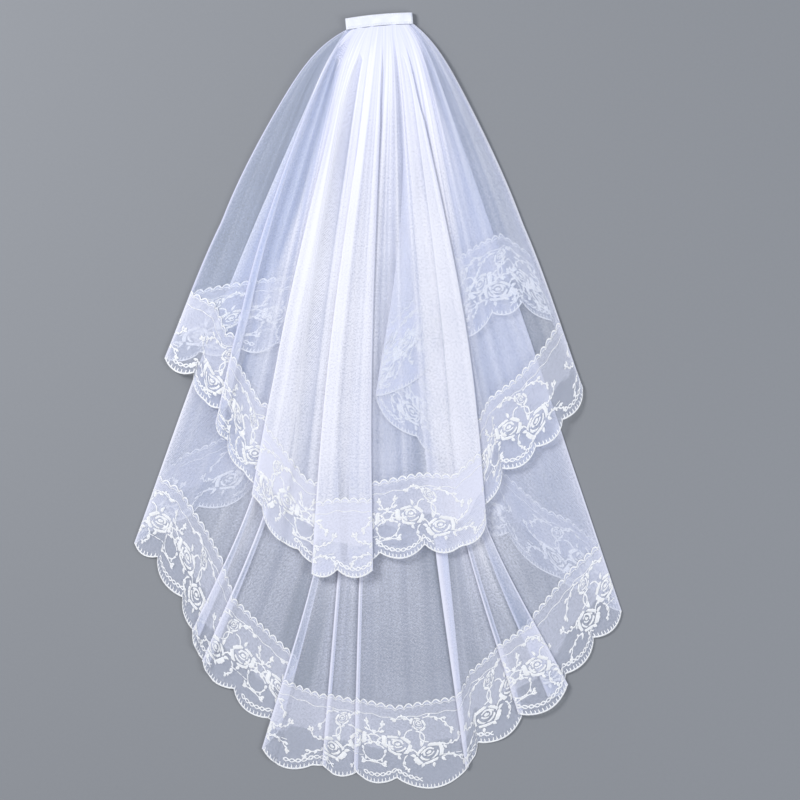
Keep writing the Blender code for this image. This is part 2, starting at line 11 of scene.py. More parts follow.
import bmesh
import bpy
import numpy as np
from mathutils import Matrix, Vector


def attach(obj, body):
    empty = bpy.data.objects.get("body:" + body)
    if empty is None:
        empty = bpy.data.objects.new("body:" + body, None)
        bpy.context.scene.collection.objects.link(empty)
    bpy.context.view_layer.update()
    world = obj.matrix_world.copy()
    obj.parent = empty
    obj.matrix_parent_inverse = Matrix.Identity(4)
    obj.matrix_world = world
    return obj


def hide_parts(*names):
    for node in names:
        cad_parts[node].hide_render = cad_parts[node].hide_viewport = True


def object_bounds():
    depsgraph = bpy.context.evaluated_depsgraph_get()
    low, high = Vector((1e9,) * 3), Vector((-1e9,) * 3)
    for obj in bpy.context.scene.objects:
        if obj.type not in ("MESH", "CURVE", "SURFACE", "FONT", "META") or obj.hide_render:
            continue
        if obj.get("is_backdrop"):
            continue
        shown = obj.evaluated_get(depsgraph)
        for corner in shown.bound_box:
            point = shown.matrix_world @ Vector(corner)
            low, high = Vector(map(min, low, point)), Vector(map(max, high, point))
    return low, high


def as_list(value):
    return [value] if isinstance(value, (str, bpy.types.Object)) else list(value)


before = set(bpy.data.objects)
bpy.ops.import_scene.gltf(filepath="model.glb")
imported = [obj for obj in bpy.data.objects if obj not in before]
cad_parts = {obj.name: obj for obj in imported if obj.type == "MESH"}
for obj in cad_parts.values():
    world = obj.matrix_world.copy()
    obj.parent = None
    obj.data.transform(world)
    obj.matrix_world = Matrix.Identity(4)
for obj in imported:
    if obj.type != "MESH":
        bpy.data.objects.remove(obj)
cad_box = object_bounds()

MM = 0.001

# The point of the tables' plane that lies at the frame's origin.
TABLE_MIDDLE = (-1.4973, 452.628)

# Header band.
BAND_LENGTH = 80.0
BAND_WIDTH = 14.0
BAND_THICKNESS = 8.0
BAND_TILT = math.radians(5.2)
BAND_ARCH = 1.6

# Cloth.
WALL = 1.15
PLY_PITCH = 1.5
SEAM_GAP = 0.3
LACE_WIDTH = 88.0
SCALLOP_DEPTH = 0.22
SCALLOP_FULLNESS = 0.8
SHORTEST_SCALLOP = 22.0
LINE_STEP = 5.0

# Gathers: low waves that fade out down the veil, and beside the pleats.
GATHER_WIDTH = 4.0
GATHER_HEIGHT = 2.0
GATHERS_GROW = (8.0, 60.0)
GATHERS_FADE = (200.0, 420.0)
GATHERS_FROM_PLEAT = (5.0, 12.0)

# Pleats: the least share of the hem for a pleat and for the space between two when the band is
# shared out, and the least and the most by which the fold on top lies beyond the one beneath it, at
# these distances from the header. The cloth comes down between two pleats over this part of the way.
PLEAT_SHARE = 30.0
PLEAT_SPACE = 70.0
PLEAT_REACH = (70.0, 86.0, 102.0, 170.0)
PLEAT_LEAST_GAP = (1.6, 0.6, -1.4, -60.0)
PLEAT_MOST_GAP = (12.0, 0.6, -0.4, -0.9)
PLEAT_COMES_DOWN = (0.05, 0.85)

# Beside a pleat the cloth stays up a little way past the fold, and then comes down, each within this
# share of the room.
SETTLE_CLEAR = 1.2
SETTLE_CLEAR_SHARE = 0.24
SETTLE_RUN_PER_PLY = 1.8
SETTLE_RUN_SHARE = 0.54
SETTLE_FREE = 8.0
SETTLE_ROOM = 6.0
SETTLE_STEP = 1.2
LEAST_STEP = 0.5

# Plies of the lower tier beneath the upper one: at the header, and more where its pleats stand.
PLIES_AT_HEADER = 2
PLIES_OF_PLEATS = 2
PLEATS_RISE = (15.0, 70.0)
DROOP_WIDTH = 45.0

# Each tier spreads out round the band, by this much on the left and on the right.
FLARE_REACH = 30.0
LOWER_FLARE = (8.0, 8.0)
UPPER_FLARE = (31.0, 20.0)

# Where the turned-under parts of a tier start along the band.
FLAP_AT_HEADER = 10.0
INNER_TURN_AT_HEADER = 60.0
INNER_EDGE_AT_HEADER = 71.0

# Rows of points: distances down from the header, then shares of the rest of the tulle, and shares
# of the lace.
HEADER_ROWS = (0, 3, 6, 10, 14, 19, 25, 32, 40, 50, 60, 70, 78, 86, 94, 102)
TULLE_ROWS = np.linspace(0, 1, 27)[1:]
LACE_ROWS = np.linspace(0, 1, 21)
GUIDE_ROWS = np.linspace(0, 1, 61)

# The lace: its width without the scallops, the width of its whole cut, and how far its small inner
# arches rise over the tulle and lift off it.
LACE_FLAT = 82.0
LACE_CUT = 0.092
LACE_RISE = 4.5
ARCH_PITCH = 11.5
ARCH_DEPTH = 4.6
ARCH_FULLNESS = 0.8
SEAM_LIFT = 0.12

# Embroidery: how high the edges of all its cords lie over the net, and the cords' sizes.
THREAD_FOOT = 0.05
STEM_WIDTH = 1.6
STEM_HEIGHT = 0.35
LEAF_HEIGHT = 0.45
STITCH_PITCH = 0.55

# The petals of a rose, by angle, inner and outer radius as shares of its size, and spread.
ROSE_PETALS = (
    (12, 0.74, 1.04, 76),
    (92, 0.72, 1.00, 70),
    (166, 0.74, 1.10, 66),
    (236, 0.72, 0.98, 64),
    (304, 0.73, 1.07, 60),
    (44, 0.49, 0.66, 96),
    (150, 0.47, 0.65, 102),
    (256, 0.50, 0.67, 92),
    (70, 0.27, 0.42, 112),
    (196, 0.26, 0.41, 120),
    (312, 0.28, 0.43, 84),
    (60, 0.0, 0.19, 350),
)
ROSE_SQUASH = 0.64

# The heart of a rose, inside this share of its size, lies aside of its middle.
HEART = 0.3
HEART_ASIDE = 0.12

# A twig bends from side to side by this much, and each bend carries a short shoot.
TWIG_SWAY = 0.9
SHOOT_WIDTH = 2.4

# One motif, on the flat strip: roses by middle, size and turn; twigs by start, end, bow, number and
# length of their shoots, and side of the first; stems by start, end and bow; and leaves on an oval
# ring round two of the roses, by middle, angles, slant, unevenness and width.
MOTIF_LENGTH = 118.0
ROSES = (((28, 44), 17.5, 0.3), ((66, 59), 17.5, -0.3), ((54, 22), 10.5, 0.7))
TWIGS = (
    ((14, 38), (-10, 22), -0.16, 4, 7.5, 1),
    ((12, 50), (-20, 46), 0.14, 4, 7.0, -1),
    ((60, 15), (94, 34), -0.16, 5, 7.5, 1),
    ((78, 47), (106, 42), 0.2, 4, 7.0, -1),
    ((46, 19), (24, 13), 0.25, 3, 6.0, 1),
    ((82, 64), (108, 74), -0.18, 4, 6.5, 1),
    ((14, 56), (-12, 67), -0.2, 3, 6.5, 1),
    ((40, 57), (40, 74), 0.3, 2, 5.5, 1),
)
STEMS = (
    ((38, 52), (53, 60), -0.25),
    ((51, 30), (58, 48), -0.35),
    ((58, 29), (66, 45), 0.35),
    ((47, 28), (37, 35), 0.25),
)
LEAVES = (
    ((66, 59), (0.4, 1.2, 1.9, 3.0, 4.1, 5.4), 0.5, 5, 3.4),
    ((28, 44), (0.6, 1.5, 2.5, 3.8, 4.9), -0.5, 4, 3.2),
)
LEAF_RING = (16.0, 0.72 * 16.0)
LEAF_LENGTH = 6.5

# Along the scallops and between the motifs: where a vine of twining stems with rings and a row of
# long stitches run, measured from a motif's start.
VINE = (-12, 58)
VINE_FROM_HEM = 10.5
VINE_PITCH = 13.0
VINE_SWAY = 1.9
RING_SIZE = 2.1
DASHES = (80, 112)
DASH_ROW = 62.0
DASH = 7.5
DASH_GAP = 1.6

# The teeth of the hem, and how far the flowers stay from the strip's ends and from its hem.
TOOTH_PITCH = 4.3
TOOTH_LENGTH = 5.6
END_CLEAR = 0.4
HEM_CLEAR = 0.3

# Near the band the front's columns stay in order, at least this far apart.
IN_ORDER_TO = 35.0
LEAST_RUN = 0.004

# How dense the net looks: the share of its width that the cut has at the header, over how long a
# run the gathering is evened out, and the streaks along the band, by length and height. The streaks
# also paint the dense net's colour lighter and darker: painted light and shade.
CUT_AT_HEADER = 0.85
SMOOTH_RUN = 40.0
LEAST_GATHERED = 0.8
MOST_GATHERED = 24.0
GATHERED_POWER = 1.38
STREAK_WAVES = ((0.8, 0.2), (1.15, 0.3), (1.9, 0.34), (3.3, 0.34), (5.9, 0.28), (11.0, 0.16))
STREAK_FADE = 340.0
SIDE_FADE = (250.0, 600.0)
SIDE_SOFTNESS = 1.6

# The left and the right edge of the closely gathered part: distances down, and across.
DENSE_LEFT = (0, 50, 80, 131, 214, 280, 360, 440), (-38, -43, -50, -64, -90, -115, -165, -260)
DENSE_RIGHT = (0, 70, 160, 214, 280, 360, 440), (42, 56, 92, 116, 146, 200, 280)
DENSE_SOFT = 9.0

# Beside each fold the cloth stands a little, and looks denser.
FOLD_GLOW = 1.8
FOLD_GLOW_WIDTH = 5.0

# Far down the long tier a pleat's three layers look little denser than one, but for their folds.
PLEATS_THIN = (480.0, 640.0)
PLEAT_SOFT = 3.0
BACK_LAYER = 0.1
OUTER_LAYERS = 0.55
BRIGHT_FOLDS = 0.3

# Right under the band, where the cloth is drawn up most, the dense net's colour is painted darker:
# painted shade. Further down its bunches are painted whiter: painted light.
AT_BAND = 1.3
AT_BAND_FADE = 90.0
BUNCHES_PAINTED_LIGHTER = 0.45
PAINTED_SHADE_AT_BAND = 0.4

# The least density between bunches, over how long a run they come and go, and the power by which
# the lace follows them.
LEAST_BUNCH = 0.5
BUNCH_COMES = 150.0
BUNCH_GOES = 200.0
LACE_GATHER = 0.6

# Least cosine between a quad's normal and its corners' for smooth shading.
LEAST_SMOOTH = 0.35

# Creases: the extra cover on a fold's edge and beside it, and the lines that make a bend.
CREASE_SHARP = 4.0
CREASE_SOFT = 0.3
BEND_LINES = 3

# Where the net stands on edge it looks denser: the least cosine that counts, the most, and the power.
LEAST_FACING = 0.2
MOST_TILT = 4.0
TILT_POWER = 0.7

# The net itself: the share of the light that one flat layer lets through, its pitch, how far it
# wanders, how much it covers in its holes and on its threads, and its colours.
NET_OPEN = 0.74
NET_PITCH = 1.7
LACE_NET_PITCH = 1.5
NET_WANDER = 2.2
NET_HOLE_SHARE = 0.5
NET_THREAD_SHARE = 1.35
NET_THIN = (0.62, 0.725, 0.99, 1)
# The dense net's colour comes in a darker and a lighter copy, mixed by the painted light and shade of
# the gathers.
NET_DENSE_SHADED = (0.69, 0.715, 0.90, 1)
NET_DENSE_LIT = (0.84, 0.85, 0.95, 1)
LACE_NET_COVER = 1.5
TULLE_UNDER_LACE = 50.0
TULLE_UNDER_COVER = 1.2

# The band as sewn: how square its section is and how much thinner at its ends, its puckers and
# swells, how far from its middle line it is stitched, the groove there, and the stitches.
BAND_RUNS = 121
BAND_TURNS = 56
BAND_SQUARENESS = 0.42
BAND_TAPER = 0.38
PUCKER = 0.28
SWELL = 0.20
BAND_STITCH_LINE = 5.2
GROOVE = 0.55
BAND_STITCH_PITCH = 3.1
BAND_STITCH = 2.1
STITCH_SUNK = 0.62

# The studio, in metres and watts.
FLOOR_HALF = 4.0
FLOOR_LEVEL = -0.0002
FLOOR_TONE = np.array([0.24, 0.252, 0.275])
LIGHTS = (
    ("key", (-1.7, 1.2, 1.9), 1.1, 57.0, (1.0, 0.99, 0.98)),
    ("fill", (1.9, -0.6, 1.7), 1.6, 24.0, (0.93, 0.96, 1.0)),
)
WORLD_COLOUR = (0.92, 0.95, 1.0, 1)
WORLD_STRENGTH = 0.50
LAYERS_SEEN = 96
SENSOR = 36.0
CAMERA_HEIGHT = 6.0
VIEW_WIDTH = 0.952
VIEW_MIDDLE = (0.0262, 0.0024)


def cusps(ply, *hems):
    """Rows for points between two scallops, whose lines run between the fold lines beside them."""
    return [("cusp", ply, None, hem) for hem in hems]


# One row for each fold line or scallop cusp, in the order in which they follow along the sheet.
# kind    edge: a free side edge; turn: the sheet doubles back at the side; in and out: the two
#         lines between which a pleat runs back; cusp: the point between two scallops
# ply     the layer in which the cloth goes on from this line, 0 being the lowest
# waist   a point that the line passes (across, down), and hem, where it ends
# across is measured from the middle of the header band, and down is measured from it to the hem.
COLUMNS = ("kind", "ply", "waist", "hem")
LOWER_TIER = (
    ("edge", 0, (-62, 330), (-99, 543)),
    *cusps(0, (-152, 553), (-215, 577), (-262, 594)),
    ("turn", 1, (-199, 369), (-291, 621)),
    *cusps(1, (-264, 637), (-234, 685)),
    ("in", 2, (-163, 610), (-214, 731)),
    ("out", 3, (-167, 608), (-222, 725)),
    ("in", 2, (-135, 594), (-203, 765)),
    ("out", 3, (-139, 593), (-210, 761)),
    *cusps(1, (-173, 794)),
    *cusps(0, (-132, 829)),
    ("in", 1, (-72, 663), (-118, 842)),
    ("out", 2, (-79, 663), (-139, 865)),
    *cusps(0, (-80, 885)),
    ("in", 1, (-46, 661), (-64, 886)),
    ("out", 2, (-49, 661), (-67.5, 885)),
    ("in", 1, (-20, 657), (-26, 893)),
    ("out", 2, (-23, 657), (-29.5, 890)),
    *cusps(0, (21, 900)),
    ("in", 1, (80, 625), (106, 887)),
    ("out", 2, (67, 625), (103.5, 889)),
    ("cusp", 0, (90, 619), (117, 858)),
    ("in", 2, (106, 613), (171, 822)),
    ("out", 3, (102, 614), (166, 824)),
    ("in", 2, (131, 610), (224, 789)),
    ("out", 1, (122, 612), (201, 803)),
    *cusps(1, (222, 776), (255, 733)),
    ("turn", 0, (228, 524), (288, 702)),
    *cusps(0, (251, 674), (215, 662), (154, 608)),
    ("edge", 0, (86, 380), (120, 602)),
)
UPPER_TIER = (
    ("edge", 1, (-62, 240), (-104, 378)),
    *cusps(1, (-124, 384), (-169, 387), (-213, 393)),
    ("turn", 2, (-187, 238), (-255, 401)),
    *cusps(2, (-220, 418), (-208, 451)),
    ("in", 3, (-154, 345), (-180, 457)),
    ("out", 4, (-163, 345), (-194, 478)),
    *cusps(2, (-180, 498), (-161, 535)),
    ("in", 3, (-100, 420), (-112, 552)),
    ("out", 4, (-124, 420), (-151, 563)),
    *cusps(2, (-139, 577), (-96, 628)),
    ("in", 3, (-50, 488), (-46, 643)),
    ("out", 4, (-68, 488), (-80, 657)),
    *cusps(4, (-50, 652)),
    ("in", 3, (-10, 488), (-8, 653)),
    ("out", 2, (-34, 488), (-37, 638)),
    *cusps(2, (1, 632), (54, 622), (98, 624)),
    ("in", 3, (116, 470), (127, 597)),
    ("out", 2, (87, 474), (94, 592)),
    *cusps(2, (124, 576), (146, 532), (186, 506), (218, 474)),
    ("turn", 1, (170, 240), (242, 437)),
    ("cusp", 1, (166, 243), (205, 356)),
    *cusps(1, (170, 334), (134, 347), (73, 375)),
    ("turn", 0, (22, 274), (-4, 446)),
    *cusps(0, (45, 494), (81, 518)),
    ("edge", 0, (76, 330), (114, 512)),
)

# What sets the tiers apart: the table, how far the tier flares, the cut of its tulle by width and
# length and by area, in metres, what it lies on, and where the motifs start; then the looks. They
# are the seed of the streaks and the share of them that is left far down, how far in from its sides
# the tier grows dense, the cover of its sides and of all of it, and its bunches by middle, width,
# height, and how far down they start and end.
TIERS = {
    "lower_tier": {
        "table": LOWER_TIER,
        "flare": LOWER_FLARE,
        "cut": (1.47, 0.82),
        "area": 0.58,
        "lies_on": ["floor"],
        "motifs": 25.0,
        "seed": 0.3,
        "streaks_left": 0.08,
        "rim": (0.0, 6.0),
        "sides": (1.6, 1.7),
        "cover": 1.65,
        "bunches": (
            (37, 10, 1.6, 0, 740),
            (13, 4, 1.0, 0, 740),
            (67, 5, 1.2, 0, 740),
            (51, 4, -0.5, 200, 740),
            (32, 9, 1.6, 150, 600),
        ),
    },
    "upper_tier": {
        "table": UPPER_TIER,
        "flare": UPPER_FLARE,
        "cut": (1.6, 0.57),
        "area": 0.41,
        "lies_on": ["lower_tier_net"],
        "motifs": 60.0,
        "seed": 1.7,
        "streaks_left": 0.35,
        "rim": (3.5, 13.0),
        "sides": (0.5, 1.35),
        "cover": 1.0,
        "bunches": (
            (38, 9, 1.8, 0, 2000),
            (20, 5, 1.0, 0, 2000),
            (25, 6, 3.4, 150, 2000),
            (61, 6, 1.6, 0, 2000),
            (58, 4.5, 3.6, 150, 2000),
            (51.5, 3, -0.5, 240, 2000),
            (40, 6, 2.0, 200, 2000),
            (60, 7, -1.3, 150, 520),
        ),
    },
}


def smooth(value, start, end):
    """0 before start, 1 after end, and an even rise between them."""
    share = np.clip((np.asarray(value, float) - start) / (end - start), 0.0, 1.0)
    return share * share * (3.0 - 2.0 * share)


def norm(ways):
    return np.linalg.norm(ways, axis=-1)


def unit(ways):
    return ways / np.maximum(norm(ways), 1e-6)[..., None]


def band_plan(run, across):
    """The point this far along the band from its middle, and across it from its bowed middle line."""
    down = across - BAND_ARCH * (1 - (2 * run / BAND_LENGTH) ** 2)
    cos, sin = math.cos(BAND_TILT), math.sin(BAND_TILT)
    return np.stack([run * cos + down * sin, down * cos - run * sin], axis=-1)


def header_point(along):
    """The point beside the band's lower edge that is this far from its left end."""
    return band_plan(np.asarray(along, float) - BAND_LENGTH / 2, BAND_WIDTH / 2 + SEAM_GAP)


# The table of a tier, and what follows from it.


def table_rows(table):
    """The table's rows as dictionaries, with what follows from the rows beside each.

    before is the ply in which the cloth reaches a line, and climb is the way that a pleat goes: 1
    if the cloth comes out of it above, and -1 if it comes out beneath.
    """
    rows = [dict(zip(COLUMNS, row)) for row in table]
    length = 0.0
    for previous, row in zip([rows[0]] + rows, rows):
        length += math.dist(previous["hem"], row["hem"])
        row["at"] = length
        row["before"] = previous["ply"] if row["kind"] == "turn" else row["ply"]
    for row, after in zip(rows, rows[1:]):
        if row["kind"] == "in":
            row["climb"] = after["climb"] = after["ply"] - row["ply"]
            row["before"] = row["ply"] - row["climb"]
            after["before"] = row["ply"]
    fill_waists(rows)
    fill_headers(rows)
    return rows


def fill_waists(rows):
    """Gives each cusp a waist between those of the fold lines on its two sides."""
    lines = [row for row in rows if row["waist"] is not None]
    at, waists = [line["at"] for line in lines], np.transpose([line["waist"] for line in lines])
    for row in rows:
        row["waist"] = [np.interp(row["at"], at, waist) for waist in waists]


def between(start, end, share):
    return np.add(start, share * np.subtract(end, start))


def turns_of(rows):
    return [index for index, row in enumerate(rows) if row["kind"] == "turn"]


def fill_headers(rows):
    """Shares the band out between the panels of the front, and gives the flaps their short ends."""
    first, last, *inner = turns_of(rows)
    shares = [0.0]
    for row, previous in zip(rows[first + 1 : last + 1], rows[first:last]):
        share = row["at"] - previous["at"]
        if row["kind"] == "out":
            share = max(share, PLEAT_SHARE)
        elif previous["kind"] == "out" and row["kind"] == "in":
            share = max(share, PLEAT_SPACE)
        shares.append(shares[-1] + share)
    for row, share in zip(rows[first : last + 1], shares):
        row["header"] = share / shares[-1] * BAND_LENGTH
    spread_headers(rows[: first + 1], FLAP_AT_HEADER, 0.0)
    if inner:
        spread_headers(rows[last : inner[0] + 1], BAND_LENGTH, INNER_TURN_AT_HEADER)
        spread_headers(rows[inner[0] :], INNER_TURN_AT_HEADER, INNER_EDGE_AT_HEADER)
    else:
        spread_headers(rows[last:], BAND_LENGTH, BAND_LENGTH - FLAP_AT_HEADER)


def spread_headers(rows, start, end):
    """Spaces these rows along the band as they are spaced along the hem."""
    for row in rows:
        row["header"] = np.interp(row["at"], (rows[0]["at"], rows[-1]["at"]), (start, end))


# The lines down a tier.


def line_between(row, after, share, **more):
    """A line down the sheet at this share of the way between two rows, with its scallop."""
    hem, scallop = between(row["hem"], after["hem"], share), 0.0
    chord = math.dist(row["hem"], after["hem"])
    if chord > SHORTEST_SCALLOP:
        edge = np.subtract(after["hem"], row["hem"]) / chord
        normal = np.array([edge[1], -edge[0]])
        outward = normal * (normal @ hem) / norm(hem)
        scallop = chord * SCALLOP_DEPTH * math.sin(math.pi * share) ** SCALLOP_FULLNESS
        hem = hem + outward * scallop
        scallop *= abs(normal @ (hem / norm(hem)))
    line = {"hem": hem, "waist": between(row["waist"], after["waist"], share), "scallop": scallop}
    line["header"] = row["header"] + share * (after["header"] - row["header"])
    return line | {"gather": 0.0, "bulge": 0.0, "heading": 0.0, "fold": False} | more


def panel_lines(row, after, front, raised):
    """The lines between two rows. raised is the floor of the pleats, where the panel is on them."""
    start = after["before"] if row["kind"] == "out" and raised is None else row["ply"]
    onto_drop = after["kind"] == "in" and after["climb"] < 0 and raised is None
    end = start if onto_drop else after["before"]
    width = abs(after["header"] - row["header"])
    gathers = round(width / GATHER_WIDTH) if front and raised is None and start == end else 0
    lines = []
    for share in even_shares(row, after):
        ply = start + smooth(share, *PLEAT_COMES_DOWN) * (end - start)
        gather = math.sin(math.pi * gathers * share) ** 2
        floor = ply if raised is None else raised
        lines.append(line_between(row, after, share, ply=ply, floor=floor, gather=gather))
    return lines


def even_shares(row, after):
    steps = max(1, math.ceil((after["at"] - row["at"]) / LINE_STEP))
    return np.arange(1, steps) / steps


def sheet_lines(rows):
    """All the lines down one tier in order, and its pleats.

    ply is a line's layer where the pleats stand up, and floor its layer above them. A side fold has
    three lines: heading is the way in which the cloth goes on there, in degrees from 0, to the
    right, over 90, up, to 180, to the left, and bulge is 1 where it bends out to the right.
    """
    first, last, *_ = turns_of(rows)
    lines, pleats, raised, goes_left = [], [], None, True
    for index, row in enumerate(rows):
        if index and rows[index - 1]["kind"] == "in":
            shares = even_shares(rows[index - 1], row)
            lines += [line_between(rows[index - 1], row, share, fold=True) for share in shares]
        elif index:
            lines += panel_lines(rows[index - 1], row, first < index <= last, raised)
        if row["kind"] in ("edge", "cusp"):
            floor = row["ply"] if raised is None else raised
            lines.append(line_between(row, row, 0.0, ply=row["ply"], floor=floor))
        elif row["kind"] == "turn":
            climb = row["ply"] - row["before"]
            for step, way in enumerate((180.0, 90.0, 0.0) if goes_left else (0.0, 90.0, 180.0)):
                ply = row["before"] + climb * step / 2
                bulge = (step % 2) * (-1.0 if goes_left else 1.0)
                more = {"ply": ply, "floor": ply, "bulge": bulge, "heading": climb * way}
                lines.append(line_between(row, row, 0.0, fold=True, **more))
            goes_left = not goes_left
        else:
            if row["kind"] == "in":
                floor = min(row["before"], row["before"] + 2 * row["climb"])
                pleats.append({"first": len(lines), "climb": row["climb"], "floor": floor})
            lines += [line_between(row, row, 0.0, fold=True) for _ in range(3)]
        if row["kind"] == "out":
            pleats[-1]["last"] = len(lines) - 1
            stays_up = row["climb"] > 0 and rows[index + 1]["before"] == row["ply"]
            raised = pleats[-1]["floor"] if stays_up else None
    return lines, pleats


def hermite(start, end, slope_start, slope_end, span, t):
    """A cubic from start to end over this span of t, with these slopes."""
    u = np.clip(t / span, 0, 1)[..., None]
    run = np.asarray(span)[..., None]
    held = start * (2 * u**3 - 3 * u**2 + 1) + end * (3 * u**2 - 2 * u**3)
    return held + slope_start * run * (u**3 - 2 * u**2 + u) + slope_end * run * (u**3 - u**2)


def line_ends(lines):
    """The lines' header points, waists, hem points and two lengths, above and below the waist."""
    header = header_point(np.array([line["header"] for line in lines]))
    waist = np.array([line["waist"] for line in lines], float)
    hem = np.array([line["hem"] for line in lines], float)
    return header, waist, hem, norm(waist - header), norm(hem - waist)


def down_the_lines(lines, t, flare):
    """Points (line, row, 2) at these shares t (line, row) of each line, from header to hem."""
    header, waist, hem, upper, lower = line_ends(lines)
    length = (upper + lower)[:, None]
    bend = upper[:, None] / length
    slope_up, slope_low = (waist - header) / bend, (hem - waist) / (1 - bend)
    slope = slope_up * (1 - bend) + slope_low * bend
    parts = (header, waist, hem, slope_up, slope_low, slope)
    header, waist, hem, slope_up, slope_low, slope = (part[:, None] for part in parts)
    above = hermite(header, waist, slope_up, slope, bend, t)
    below = hermite(waist, hem, slope, slope_low, 1 - bend, t - bend)
    points = np.where((t <= bend)[..., None], above, below)
    side = np.array([2 * line["header"] / BAND_LENGTH - 1 for line in lines])[:, None]
    width = np.where(side < 0, flare[0], flare[1]) * side
    points[..., 0] += width * (1 - np.exp(-t * length / FLARE_REACH)) * np.clip(1 - t / bend, 0, 1)
    return points


def across_of(points):
    """Unit vectors across the lines, towards the right."""
    along = unit(np.gradient(points, axis=1))
    return np.stack([along[..., 1], -along[..., 0]], axis=-1)


def beside(plan, line, flare):
    """How far each point lies to the right of a line."""
    guide = down_the_lines([line], GUIDE_ROWS[None], flare)
    across = across_of(guide)[0]
    step = plan[..., None, :] - guide[0]
    nearest = np.argmin(norm(step), axis=-1)
    step = np.take_along_axis(step, nearest[..., None, None], axis=-2)[..., 0, :]
    return np.sum(step * across[nearest], axis=-1)


# A tier's mid-surface, as columns of points down its lines.


def pleat_curve(gap, rise, count):
    """An S of two bends and the straight between them, from one level up to another.

    gap is how far its upper end lies beyond its lower one. Yields the distance across, the height
    and the heading at each of count points.
    """
    radius = PLY_PITCH / 2
    centres = np.hypot(gap, rise - 2 * radius)
    lean = np.arctan2(rise - 2 * radius, gap) + np.arcsin(np.minimum(2 * radius / centres, 1))
    straight = np.sqrt(np.maximum(centres**2 - 4 * radius**2, 0))
    bend = radius * lean
    length = 2 * bend + straight
    evenly = 1 - smooth(lean, 0, math.radians(60))
    for index in range(count):
        if index < 3:
            at = bend * index / 2
        elif index >= count - 3:
            at = length - bend * (count - 1 - index) / 2
        else:
            at = bend + straight * (index - 2) / (count - 5)
        at = at + evenly * (length * index / (count - 1) - at)
        first = np.clip(at / radius, 0, lean)
        along = np.clip(at - bend, 0, straight)
        last = np.clip((at - bend - straight) / radius, 0, lean)
        across = radius * (np.sin(first) + np.sin(lean) - np.sin(lean - last)) + along * np.cos(lean)
        up = radius * (1 - np.cos(first) + np.cos(lean - last) - np.cos(lean)) + along * np.sin(lean)
        yield across, up, np.degrees(first - last)


def fold_pleat(pleat, columns, reach):
    """Lays the columns of a pleat along its curve.

    The pleat climbs as soon as it leaves the gathers, leans back further down, and then lies flat.
    """
    strip = columns[pleat["first"] : pleat["last"] + 1]
    start, end, across = strip[0]["plan"], strip[-1]["plan"], strip[0]["across"]
    along = np.stack([-across[:, 1], across[:, 0]], axis=-1)
    gap = np.sum((end - start) * across, axis=-1)
    least, most = (np.interp(reach, PLEAT_REACH, gaps) for gaps in (PLEAT_LEAST_GAP, PLEAT_MOST_GAP))
    allowed = np.clip(gap, least, most)
    origin = start + across * ((gap - allowed) / 2)[:, None]
    curve = pleat_curve(allowed, 2 * PLY_PITCH * pleat["lift"], len(strip))
    climb, bottom = pleat["climb"], pleat["floor"] if pleat["climb"] > 0 else pleat["top"]
    opened = smooth(allowed, 0, PLEAT_LEAST_GAP[0])
    length_on = np.sum((end - start) * along, axis=-1)
    for index, (column, (beyond, up, heading)) in enumerate(zip(strip, curve)):
        down = np.sum((column["plan"] - start) * along, axis=-1)
        down += opened * (length_on * index / (len(strip) - 1) - down)
        column["plan"] = origin + across * beyond[:, None] + along * down[:, None]
        column["across"] = across
        column["ply"] = bottom + climb * up / PLY_PITCH
        column["heading"] = climb * heading


def to_next_fold(lines, index, way):
    """The indices of the lines from this one to the next fold, that way along the sheet."""
    found = [index + way]
    while not lines[found[-1]]["fold"]:
        found.append(found[-1] + way)
    return found


def settle(pleat, lines, columns, flare):
    """Brings the front down beside a pleat to the layer next to it, a little way past the fold.

    Returns the columns to put in, by the index of the column that they follow. A column that is
    too near the slope is taken out.
    """
    climbs = pleat["climb"] > 0
    edge, guide = (pleat["last"], pleat["first"]) if climbs else (pleat["first"], pleat["last"])
    way = 1 if climbs else -1
    found = to_next_fold(lines, edge, way)
    if len(found) > 1 and lines[found[0]]["floor"] != lines[found[0]]["ply"]:
        return {}
    guide = lines[guide]
    clear = [way * beside(np.array(lines[index]["hem"], float), guide, flare) for index in found]
    inner = [index for index, distance in zip(found[:-1], clear) if distance < SETTLE_CLEAR / 2]
    outer = next((i for i, distance in zip(found, clear) if distance > SETTLE_FREE), found[-1])
    near = inner[-1] if inner else edge
    for index in inner:
        columns[index]["ply"] = pleat["top"]
    for index in range(near + way, outer, way):
        columns[index] = None
    make_room(pleat, [edge, *inner], found[found.index(outer) :], columns, guide, way, flare)
    inside, outside = columns[near], columns[outer]
    start, end = (way * beside(column["plan"], guide, flare) for column in (inside, outside))
    from_here = np.maximum(start, 0)
    room = end - from_here
    crest = from_here + np.minimum(SETTLE_CLEAR, SETTLE_CLEAR_SHARE * room)
    plies = np.maximum(pleat["top"] - outside["ply"], 1)
    foot = crest + np.minimum(SETTLE_RUN_PER_PLY * plies, SETTLE_RUN_SHARE * room)
    added = []
    for distance, ply in ((crest, pleat["top"]), (foot, outside["ply"])):
        share = ((distance - start) / (end - start))[:, None]
        plan = between(inside["plan"], outside["plan"], share)
        column = {"plan": plan, "across": inside["across"], "ply": ply}
        column |= {"gather": 0.0, "heading": None, "folded": 0.0}
        for fact in ("header", "scallop"):
            column[fact] = inside[fact] + share.mean() * (outside[fact] - inside[fact])
        added.append(column)
    return {near if climbs else outer: added[::way]}


